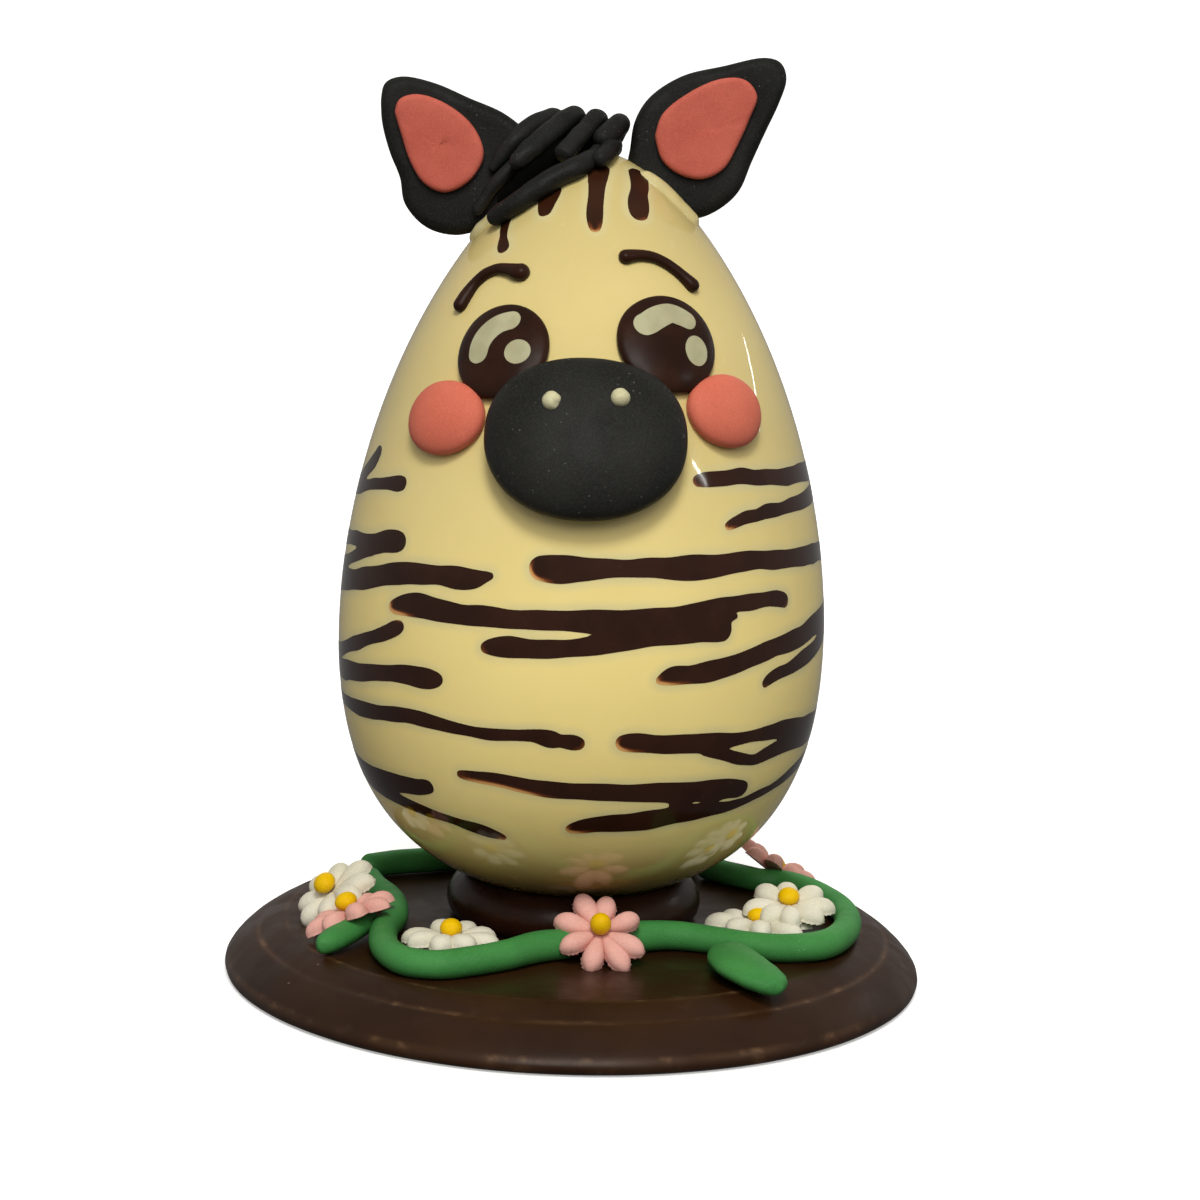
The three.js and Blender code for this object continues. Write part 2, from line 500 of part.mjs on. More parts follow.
// An almond: full in the middle, blunt at the stem and pointed at the tip.
function leaf({ spine, width, thick }, grow = 0) {
  const curve = new THREE.CatmullRomCurve3(spine.map((place) => point(...place)));
  const fullness = [[0.05, 0.42], [0.2, 0.85], [0.42, 1], [0.65, 0.86], [0.85, 0.52], [0.96, 0.24]];
  const sides = 10;
  const rings = fullness.map(([u, full]) => {
    const side = curve.getTangentAt(u).cross(UP).normalize();
    const top = side.clone().cross(curve.getTangentAt(u));
    return Array.from({ length: sides }, (_, j) => {
      const turn = 2 * Math.PI * j / sides;
      return curve.getPointAt(u)
        .addScaledVector(side, (full * width / 2 + grow) * Math.cos(turn))
        .addScaledVector(top, -(Math.sqrt(full) * thick / 2 + grow) * Math.sin(turn));
    });
  });
  const start = curve.getPointAt(0).addScaledVector(curve.getTangentAt(0), -grow);
  const end = curve.getPointAt(1).addScaledVector(curve.getTangentAt(1), grow);
  return loft(start, rings, end);
}

// ---- daisies ------------------------------------------------------------------------------
// Each has its middle, the way it faces and how far its first petal is turned.
const DAISIES = {
  daisy_left_white: { at: [-64.6, -16.6, 23.9], faces: [-0.5, -0.34, 0.79], spin: 8, paste: whitePaste },
  daisy_left_pink: { at: [-59.6, -30.6, 21], faces: [-0.33, 0.1, 0.92], spin: 20, paste: rosePaste },
  daisy_front_white: { at: [-31.3, -43.2, 16.4], faces: [0, 0.02, 1], spin: 12, paste: whitePaste },
  daisy_front_pink: { at: [6, -45.6, 22.9], faces: [0, -0.6, 0.8], spin: 24, paste: rosePaste },
  daisy_right_white: { at: [57.8, -17.4, 24], faces: [0, -0.26, 0.966], spin: 0, paste: whitePaste },
  daisy_right_low: { at: [48.8, -21.2, 18.9], faces: [0, 0.2, 0.98], spin: 14, paste: whitePaste },
  daisy_back_pink: { at: [61, 41.6, 21.4], faces: [0.46, 0.25, 0.85], spin: 30, paste: rosePaste },
};
// One petal's outline, [turn from the notch in degrees, part of the reach, level].
const PETAL_EDGE = [[0, 0.36, -0.2], [4, 0.64, 0.7], [14, 0.95, 0.5], [31, 0.95, 0.5], [41, 0.64, 0.7]];
const PETAL_FLOOR = -1.7;
const PETAL_CROWN = 1.5;
const BUTTON_RADIUS = 3.1;
const BUTTON_HEIGHT = 3.2;

function daisyPetals(grow = 0) {
  const ring = (level) => Array.from({ length: PETALS }, (_, petal) =>
    PETAL_EDGE.map(([turn, part, rise]) => {
      const angle = degToRad(petal * 360 / PETALS + turn);
      const reach = part * PETAL_REACH + grow;
      return point(reach * Math.cos(angle), reach * Math.sin(angle), level ?? rise + grow);
    })).flat();
  const floor = PETAL_FLOOR - grow;
  return toSolid(loft(point(0, 0, floor), [ring(floor), ring()], point(0, 0, PETAL_CROWN + grow)));
}

function daisyButton(grow = 0) {
  const low = PETAL_CROWN + GAP;
  return toSolid(turned([
    [0, low - grow], [BUTTON_RADIUS + grow, low - grow], [0.8 * BUTTON_RADIUS + grow, low + 0.62 * BUTTON_HEIGHT],
    [0, low + BUTTON_HEIGHT + grow],
  ], 9));
}

// ---- assembly -----------------------------------------------------------------------------
const zebraEgg = new THREE.Group();

function addPiece(name, geometry, material, parent = zebraEgg) {
  const mesh = new THREE.Mesh(geometry, material);
  mesh.name = name;
  parent.add(mesh);
  return mesh;
}

const addSolid = (name, solid, material, parent) => addPiece(name, toGeometry(solid), material, parent);

addPiece('base_disc', baseDisc(), baseChocolate);
addPiece('foot_ring', footRing(), darkChocolate);

// The shell, with a groove for each stripe.
const shellRoom = eggBody(SEAT + GAP);
addSolid('egg_shell', cutBy(eggBody(), Object.values(STRIPES).map(grooveBody)), whiteChocolate);
for (const [name, strokes] of Object.entries(STRIPES)) {
  addSolid(name, stripeBody(strokes), darkChocolate);
}

// The muzzle lies over the eyes' inner edges and the cheeks over their outer ones.
const nostrilRooms = Object.values(NOSTRILS).map((place) => nostrilBall(place, GAP));
addSolid('muzzle', cutBy(toSolid(pad(MUZZLE)), nostrilRooms), blackPaste);
const muzzleRoom = toSolid(pad(MUZZLE, GAP));
for (const side of ['left', 'right']) {
  addSolid(`nostril_${side}`, nostrilBall(NOSTRILS[side]), whiteChocolate);
  addPiece(`brow_${side}`, stroke(BROWS[side], 7, pipedSection, 1), darkChocolate);
  addSolid(`cheek_${side}`, cutBy(toSolid(pad(CHEEKS[side])), [muzzleRoom]), pinkPaste);
  const cheekRoom = toSolid(pad(CHEEKS[side], GAP));
  const { pad: eyePad, gleam, spark } = EYES[side];
  const eye = cutBy(toSolid(pad(eyePad)), [muzzleRoom, cheekRoom]);
  const gleamRoom = gleamPrism(gleam, 1.4, 6, GAP);
  const sparkRoom = sparkPrism(spark, 1.4, 6, GAP);
  addSolid(`eye_${side}`, cutBy(eye, [gleamRoom, sparkRoom]), darkChocolate);
  addSolid(`gleam_${side}`, eye.intersect(gleamPrism(gleam, 1.7, 6)).simplify(0.02), whiteChocolate);
  addSolid(`spark_${side}`, eye.intersect(sparkPrism(spark, 1.7, 6)).simplify(0.02), whiteChocolate);
}

// The ears stand on the crown's sides, each bedded in white chocolate.
const earRooms = Object.values(EARS).map((ear) => earSlab(ear, GAP));
for (const [side, ear] of Object.entries(EARS)) {
  addSolid(`ear_${side}`, cutBy(earSlab(ear), [shellRoom]), blackPaste);
  addPiece(`inner_ear_${side}`, innerEar(ear), pinkPaste);
  addSolid(`ear_glue_${side}`, cutBy(toSolid(roll(ear.glue, 7, 5)), [shellRoom, ...earRooms]), whiteChocolate);
}

// Each roll of the mane gives way to the shell, the ears and the rolls laid over it.
const laid = [];
for (const [name, path] of Object.entries(MANE)) {
  addSolid(name, cutBy(toSolid(roll(path, 7, 9)), [shellRoom, ...earRooms, ...laid]), blackPaste);
  laid.push(toSolid(roll(path, 7, 9, GAP)));
}

// The vine lies on the plateau, the leaves against it.
const groundRoom = toSolid(baseDisc().translate(0, 0, GAP));
const bedRooms = [groundRoom, shellRoom];
for (const [name, path] of Object.entries(VINES)) {
  addPiece(name, vineRoll(path), greenPaste);
  bedRooms.push(toSolid(vineRoll(path, GAP)));
}
const vineRooms = [...bedRooms];
for (const [name, shape] of Object.entries(LEAVES)) {
  addSolid(name, cutBy(toSolid(leaf(shape)), vineRooms), greenPaste);
  bedRooms.push(toSolid(leaf(shape, GAP)));
}

// Each daisy is a group of petals and button, and gives way to what it lies on.
for (const [name, { at, faces, spin, paste }] of Object.entries(DAISIES)) {
  const flower = new THREE.Group();
  flower.position.set(...at);
  flower.quaternion.setFromUnitVectors(UP, point(...faces).normalize());
  flower.rotateZ(degToRad(spin));
  flower.updateMatrix();
  const inward = flower.matrix.clone().invert();
  const rooms = bedRooms.map((room) => room.transform(inward.elements));
  addSolid(`${name}_petals`, cutBy(daisyPetals(), rooms), paste, flower);
  addSolid(`${name}_button`, cutBy(daisyButton(), rooms), yellowPaste, flower);
  zebraEgg.add(flower);
  bedRooms.push(daisyPetals(GAP).add(daisyButton(GAP)).transform(flower.matrix.elements));
}

export default zebraEgg;
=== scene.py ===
import math
import bpy
import numpy as np
from mathutils import Matrix, Vector, noise


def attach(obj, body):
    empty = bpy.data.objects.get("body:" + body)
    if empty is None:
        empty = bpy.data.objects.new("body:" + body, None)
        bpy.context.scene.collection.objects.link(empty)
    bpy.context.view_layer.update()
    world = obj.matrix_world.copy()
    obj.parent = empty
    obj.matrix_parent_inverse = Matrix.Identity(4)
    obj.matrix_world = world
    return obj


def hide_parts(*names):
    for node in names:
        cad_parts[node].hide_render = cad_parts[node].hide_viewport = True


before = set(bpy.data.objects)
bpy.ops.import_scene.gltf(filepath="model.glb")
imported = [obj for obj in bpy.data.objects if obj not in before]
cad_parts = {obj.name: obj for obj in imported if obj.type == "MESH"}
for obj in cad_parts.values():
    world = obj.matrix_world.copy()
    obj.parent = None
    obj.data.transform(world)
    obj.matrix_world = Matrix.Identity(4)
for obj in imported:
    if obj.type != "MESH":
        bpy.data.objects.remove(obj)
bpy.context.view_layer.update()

# ==== Studio ================================================================================
# A pale paper bowl behind and below the egg. A wide soft lamp stands in front, a small one above
# it and a broad one behind, and two slim strips at the right draw bright lines on the shell.
# The camera is a little above the egg's middle and leans a touch.
EYE_LEVEL, EYE_DISTANCE = 0.19487, 0.65
LOOK_DOWN, LEAN = math.radians(8.1717), math.radians(1.7168)
LENS, SENSOR, SIDE_SHIFT = 72.65, 36, 0.0148
WARM = (1.0, 0.985, 0.95)
# Where each lamp stands, what it faces, its size, its watts, which way its second side lies, and
# whether the shell mirrors it.
LAMPS = {
    "front_light": ((0.02, -1.25, 0.88), (0, 0, 0.14), (1.0, 0.62), 7.8, (0, 0, 1), True),
    "high_light": ((0, -0.95, 1.22), (0, 0, 0.14), (0.36, 0.3), 12, (0, 0, 1), False),
    "back_light": ((0.3, 1.5, 1.0), (0, 0, 0.12), (1.4, 1.0), 18, (0, 0, 1), False),
    "right_strip": ((0.855, 0.445, 0.48), (0, 0, 0.16), (0.008, 0.34), 0.17, (0.215, -0.297, -0.1),
                    True),
    "right_glint": ((0.855, -0.48, 0.5), (0, 0, 0.14), (0.006, 0.13), 0.2, (0.12, 0.09, -0.1), True),
}
BOWL_SECTION = [(2.3, 3), (2.3, 1), (2.2, 0.55), (1.95, 0.22), (1.6, 0.05), (1.2, 0), (0, 0)]
BOWL_SINK = 0.0001


def new_object(name, data):
    thing = bpy.data.objects.new(name, data)
    bpy.context.collection.objects.link(thing)
    return thing


def plug(tree, value, socket):
    """Feeds a socket from another one, or sets it to a plain value."""
    if isinstance(value, bpy.types.NodeSocket):
        tree.links.new(value, socket)
    else:
        socket.default_value = value


def add_node(tree, kind, settings=None, **sockets):
    node = tree.nodes.new(kind)
    for key, value in (settings or {}).items():
        setattr(node, key, value)
    for key, value in sockets.items():
        fits = [s for s in node.inputs if s.enabled and s.name.replace(" ", "_") == key]
        plug(tree, value, fits[0])
    return node


def ramp(tree, value, low, high, start=0.0, end=1.0, way="SMOOTHSTEP"):
    """Spreads value from low..high to start..end, and holds it there."""
    return add_node(tree, "ShaderNodeMapRange", {"interpolation_type": way}, Value=value, From_Min=low,
                    From_Max=high, To_Min=start, To_Max=end).outputs[0]


def level_in(tree, kind):
    """How high a place or a direction lies."""
    where = add_node(tree, "ShaderNodeTexCoord").outputs[kind]
    return add_node(tree, "ShaderNodeSeparateXYZ", Vector=where).outputs["Z"]


def skinned(rings, capped=False):
    """Corners and faces of a closed form, from rings of places that lie one after another. A ring
    of one place closes an end to a tip, and caps close it with a flat face."""
    points, marks, faces = [], [], []
    sides = max(len(ring) for ring in rings)
    for ring in rings:
        first = len(points)
        marks.append(list(range(first, first + sides)) if len(ring) > 1 else [first] * sides)
        points += [tuple(place) for place in ring]
    for low, high in zip(marks, marks[1:]):
        for j in range(sides):
            k = (j + 1) % sides
            face = [low[j], low[k], high[k], high[j]]
            faces.append([c for i, c in enumerate(face) if c != face[i - 1]])
    if capped:
        faces += [marks[0][::-1], marks[-1]]
    return np.array(points, float), faces


def turned(section, sides):
    """A closed form turned about the middle, from a section of (radius, height)."""
    turns = 2 * np.pi * np.arange(sides) / sides
    return skinned([[(r * math.sin(t), -r * math.cos(t), z) for t in (turns if r else turns[:1])]
                    for r, z in section])


camera = new_object("camera", bpy.data.cameras.new("camera"))
tilt = Matrix.Rotation(math.pi / 2 - LOOK_DOWN, 4, "X") @ Matrix.Rotation(LEAN, 4, "Z")
camera.matrix_world = Matrix.Translation((0, -EYE_DISTANCE, EYE_LEVEL)) @ tilt
camera.data.lens, camera.data.sensor_width, camera.data.shift_x = LENS, SENSOR, SIDE_SHIFT
bpy.context.scene.camera = camera

for name, (place, aim, size, watts, along, mirrored) in LAMPS.items():
    lamp = bpy.data.lights.new(name, "AREA")
    lamp.shape = "RECTANGLE"
    lamp.size, lamp.size_y = size
    lamp.energy, lamp.color = watts, WARM
    back = (Vector(place) - Vector(aim)).normalized()
    side = Vector(along).cross(back).normalized()
    holder = new_object(name, lamp)
    holder.matrix_world = (Matrix.Translation(place)
                           @ Matrix((side, back.cross(side), back)).transposed().to_4x4())
    holder.visible_camera, holder.visible_glossy = False, mirrored

world = bpy.data.worlds.new("studio")
bpy.context.scene.world = world
world.use_nodes = True
air = world.node_tree
plug(air, ramp(air, level_in(air, "Generated"), -0.5, 0.25, 0.13, 0.34, "LINEAR"),
     air.nodes["Background"].inputs["Strength"])
plug(air, (1.0, 0.98, 0.95, 1), air.nodes["Background"].inputs["Color"])
bpy.context.scene.view_settings.view_transform = "Standard"

points, faces = turned([(radius, height - BOWL_SINK) for radius, height in BOWL_SECTION], 48)
bowl_mesh = bpy.data.meshes.new("paper_bowl")
bowl_mesh.from_pydata(points.tolist(), [], faces)
bowl_mesh.polygons.foreach_set("use_smooth", [True] * len(faces))
paper = bpy.data.materials.new("paper")
paper.use_nodes = True
tree = paper.node_tree
for socket, value in {
    "Base Color": (0.9, 0.9, 0.895, 1), "Roughness": 0.9, "Specular IOR Level": 0.1,
    "Emission Color": (1, 1, 0.995, 1),
    "Emission Strength": ramp(tree, level_in(tree, "Object"), 0, 0.6, 0.35, 1.1, "LINEAR"),
}.items():
    plug(tree, value, tree.nodes["Principled BSDF"].inputs[socket])
bowl_mesh.materials.append(paper)
bowl = new_object("paper_bowl", bowl_mesh)
bowl.visible_diffuse = bowl.visible_glossy = False

# ==== Base ==================================================================================
# A round plate cast in dark chocolate: a flat plateau, a low step and a skirt that slopes down
# to a rounded rim. Its satin skin is dusted with crumbs, and the pale lines along its edges are
# painted highlight where the edges catch light, mixed with scuffing.
MM = 0.001
BASE_SECTION = [
    (0, 0), (91, 0), (93.6, 0.25), (94.7, 0.9), (95, 1.9), (94.8, 2.9), (94, 4.2), (92.4, 6.1),
    (90, 8.3), (87.8, 9.8), (86.8, 10.35), (86.2, 10.5), (85.7, 10.75), (84.6, 11.6), (82.2, 12.8),
    (80.4, 13.5), (79.5, 13.8), (78.6, 13.95), (77.4, 14), (60, 14), (35, 14), (0, 14),
]
# Each edge's distance from the middle and how far its painted highlight and scuffing reach, in metres.
SCUFF_AND_HIGHLIGHT_EDGES = [(0.0789, 0.0011), (0.0861, 0.0011), (0.0943, 0.0009)]
RIM_FROM, RIM_WIDTH, RIM_WAVER = 76, 10, 0.7


def srgb(red, green, blue):
    """A colour given as it looks, from 0 to 255, in the numbers that shaders use."""
    parts = [value / 255 for value in (red, green, blue)]
    return [p / 12.92 if p <= 0.04045 else ((p + 0.055) / 1.055) ** 2.4 for p in parts] + [1]


def reckon(tree, operation, first, second=0.0):
    node = add_node(tree, "ShaderNodeMath", {"operation": operation})
    plug(tree, first, node.inputs[0])
    plug(tree, second, node.inputs[1])
    return node.outputs[0]


class Finish:
    """A material, and the moves that its pattern is made of. The pattern lies still in the piece."""

    def __init__(self, name):
        self.material = bpy.data.materials.new(name)
        self.material.use_nodes = True
        self.tree = self.material.node_tree
        self.shader = self.tree.nodes["Principled BSDF"]
        self.place = add_node(self.tree, "ShaderNodeTexCoord").outputs["Object"]

    def set(self, **sockets):
        for key, value in sockets.items():
            plug(self.tree, value, self.shader.inputs[key.replace("_", " ")])

    def grain(self, size, detail, seed):
        """Cloudy noise of about this many millimetres across, from 0 to 1."""
        return add_node(self.tree, "ShaderNodeTexNoise", {"noise_dimensions": "4D"}, Vector=self.place,
                        W=seed, Scale=1 / (size * MM), Detail=detail).outputs[0]

    def clouds(self, size, detail, seed, low, high, start=0.0, end=1.0):
        """Such noise, spread from low..high to start..end."""
        return ramp(self.tree, self.grain(size, detail, seed), low, high, start, end)

    def cells(self, to_a_metre):
        return add_node(self.tree, "ShaderNodeTexVoronoi", Vector=self.place, Scale=to_a_metre).outputs

    def marked(self, name):
        """The values of this name that the mesh carries."""
        return add_node(self.tree, "ShaderNodeAttribute", {"attribute_name": name}).outputs["Fac"]

    def both(self, first, second):
        return reckon(self.tree, "MULTIPLY", first, second)

    def mix(self, share, first, second):
        """The first colour, turned to the second by its share. Plain ones go from 0 to 255."""
        node = add_node(self.tree, "ShaderNodeMix", {"data_type": "RGBA"})
        for index, value in ((0, share), (6, first), (7, second)):
            plug(self.tree, srgb(*value) if isinstance(value, tuple) else value, node.inputs[index])
        return node.outputs[2]

    def bumps(self, height, depth, strength):
        """Bumps of this depth in millimetres where height goes from 0 to 1, over any before."""
        bump = add_node(self.tree, "ShaderNodeBump", Strength=strength, Distance=depth * MM,
                        Height=height)
        for link in self.shader.inputs["Normal"].links:
            self.tree.links.new(link.from_socket, bump.inputs["Normal"])
        self.tree.links.new(bump.outputs[0], self.shader.inputs["Normal"])


def stand_for(piece, node):
    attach(piece, "root")
    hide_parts(node)
    return piece


def smooth_mesh(name, points, faces):
    """A smooth mesh from millimetre points."""
    mesh = bpy.data.meshes.new(name)
    mesh.from_pydata((np.asarray(points) * MM).tolist(), [], faces)
    mesh.polygons.foreach_set("use_smooth", [True] * len(mesh.polygons))
    return mesh


def make_piece(name, points, faces, finish, node, slot):
    mesh = smooth_mesh(name, points, faces)
    mesh.materials.append(finish.material)
    return stand_for(new_object(name, mesh), node)


satin = Finish("satin_chocolate")
tree = satin.tree
east, north, _ = add_node(tree, "ShaderNodeSeparateXYZ", Vector=satin.place).outputs
squares = reckon(tree, "ADD", reckon(tree, "POWER", east, 2), reckon(tree, "POWER", north, 2))
from_middle = reckon(tree, "POWER", squares, 0.5)
colour = satin.mix(satin.clouds(28, 4, 1.0, 0.35, 0.7), (39, 20, 7), (50, 29, 13))
# Pale edge lines: painted highlight along the edges, mixed with scuffing, broken up by noise.
scuff_and_highlight_breakup = reckon(tree, "ADD", satin.clouds(5, 6, 2.0, 0.5, 0.72), 0.22)
for edge_at, reach in SCUFF_AND_HIGHLIGHT_EDGES:
    away = reckon(tree, "ABSOLUTE", reckon(tree, "SUBTRACT", from_middle, edge_at))
    near = satin.both(ramp(tree, away, 0, reach, 1, 0),
                      satin.clouds(22, 2, edge_at * 90, 0.42, 0.62, 0.12, 1))
    colour = satin.mix(satin.both(near, scuff_and_highlight_breakup), colour, (104, 76, 52))
colour = satin.mix(satin.clouds(11, 5, 3.0, 0.6, 0.76, 0, 0.32), colour, (80, 60, 44))
crumbs = satin.both(ramp(tree, satin.cells(95)["Distance"], 0.02, 0.045, 0.5, 0),
                    satin.clouds(14, 1, 4.0, 0.52, 0.56))
satin.set(Base_Color=satin.mix(crumbs, colour, (150, 124, 96)), Specular_IOR_Level=0.26,
          Roughness=satin.clouds(9, 5, 5.0, 0.3, 0.7, 0.3, 0.46))
satin.bumps(satin.grain(0.7, 3, 6.0), 0.05, 0.35)
satin.bumps(satin.grain(16, 2, 7.0), 0.5, 0.5)

points, faces = turned(BASE_SECTION, 256)
angle = np.arctan2(points[:, 0], -points[:, 1])
sway = 0.12 * np.sin(3 * angle + 1) + 0.08 * np.sin(7 * angle) + 0.05 * np.sin(19 * angle + 2)
rim = np.clip((np.hypot(points[:, 0], points[:, 1]) - RIM_FROM) / RIM_WIDTH, 0, 1)
points[:, 2] += sway * rim * np.clip(points[:, 2], 0, 1) * RIM_WAVER
make_piece("base_plate", points, faces, satin, "base_disc", "base_chocolate")

# ==== Foot ==================================================================================
# A ring of dark chocolate cast in a small round mould, with a rounded wall and a lip that cups
# the blunt end of the egg. It is stuck down with melted chocolate.
FOOT_SECTION = [
    (0, 14.1), (31, 14.1), (32.6, 14.5), (33.6, 15.4), (34.4, 16.8), (34.9, 18.8), (34.7, 20.8),
    (33.8, 22.8), (32.5, 24.4), (31.2, 25.7), (30.4, 26.3), (29.4, 26.6), (28.2, 26.5), (27, 26.2),
    (25.6, 25.2), (21, 22.6), (14, 21.6), (0, 21),
]
glossy = Finish("glossy_chocolate")
glossy.set(Base_Color=glossy.mix(glossy.clouds(9, 3, 1.5, 0.35, 0.65), (36, 17, 9), (46, 24, 14)),
           Roughness=glossy.clouds(6, 4, 2.5, 0.35, 0.7, 0.24, 0.36), Specular_IOR_Level=0.18)
glossy.bumps(glossy.grain(5, 2, 3.5), 0.12, 0.4)
make_piece("foot_cup", *turned(FOOT_SECTION, 160), glossy, "foot_ring", "dark_chocolate")

# ==== Egg shell =============================================================================
# A tall shell of white chocolate, polished by its mould, so it shines like lacquer, and stuck
# in the foot with melted chocolate. It turns cooler and greyer in a thin line wherever it runs
# up against a dark stripe. Its colour also carries painted light and shade by height: a belly
# painted brighter, a crown and top painted darker, and a painted shadow just above the foot.
EGG_HEIGHT = 200
EGG_BOTTOM = 21.3
EGG_FULLNESS = 63.06
EGG_SHAPE = (1, -0.2631, 0.0825, -0.1352)
SHELL_RINGS, SHELL_SIDES = 230, 340
SHELL_GRID = 0.75


def egg_radius(height):
    c = 2 * np.asarray(height, float) / EGG_HEIGHT - 1
    shape = sum(share * c ** power for power, share in enumerate(EGG_SHAPE))
    return EGG_FULLNESS * np.sqrt(np.maximum(0, 1 - c * c)) * shape


def on_shell(azimuth, height, lift=0.0):
    """Points off the shell at degrees from the middle of the face and millimetres up it."""
    azimuth, height, lift = np.broadcast_arrays(np.asarray(azimuth, float), height, lift)
    angle = np.radians(azimuth)
    slope = egg_radius(height + 0.5) - egg_radius(height - 0.5)
    size = np.sqrt(1 + slope ** 2)
    reach = egg_radius(height) + lift / size
    return np.stack([reach * np.sin(angle), -reach * np.cos(angle),
                     EGG_BOTTOM + height - lift * slope / size], -1)


def run_of(line):
    """How far along a line each of its points lies."""
    return np.concatenate([[0], np.cumsum(np.linalg.norm(np.diff(line, axis=0), axis=1))])


def at_runs(line, run, wanted):
    return np.stack([np.interp(wanted, run, line[:, k]) for k in range(line.shape[1])], -1)


def through(path, spacing):
    """Points at even distances along a smooth line through the path's points."""
    path = np.array(path, float)
    ends = np.vstack([2 * path[0] - path[1], path, 2 * path[-1] - path[-2]])
    steps = np.maximum(1e-6, np.linalg.norm(np.diff(ends, axis=0), axis=1))
    knots = np.concatenate([[0], np.cumsum(steps ** 0.5)])
    line = []
    for i in range(1, len(ends) - 2):
        at = knots[i - 1:i + 3]
        for t in np.linspace(at[1], at[2], 24, endpoint=False):
            near = ends[i - 1:i + 3]
            for spans in (((0, 1), (1, 2), (2, 3)), ((0, 2), (1, 3)), ((1, 2),)):
                near = [((at[b] - t) * near[k] + (t - at[a]) * near[k + 1]) / (at[b] - at[a])
                        for k, (a, b) in enumerate(spans)]
            line.append(near[0])
    line = np.array(line + [path[-1]])
    run = run_of(line)
    return at_runs(line, run, np.linspace(0, run[-1], max(2, int(round(run[-1] / spacing)) + 1)))


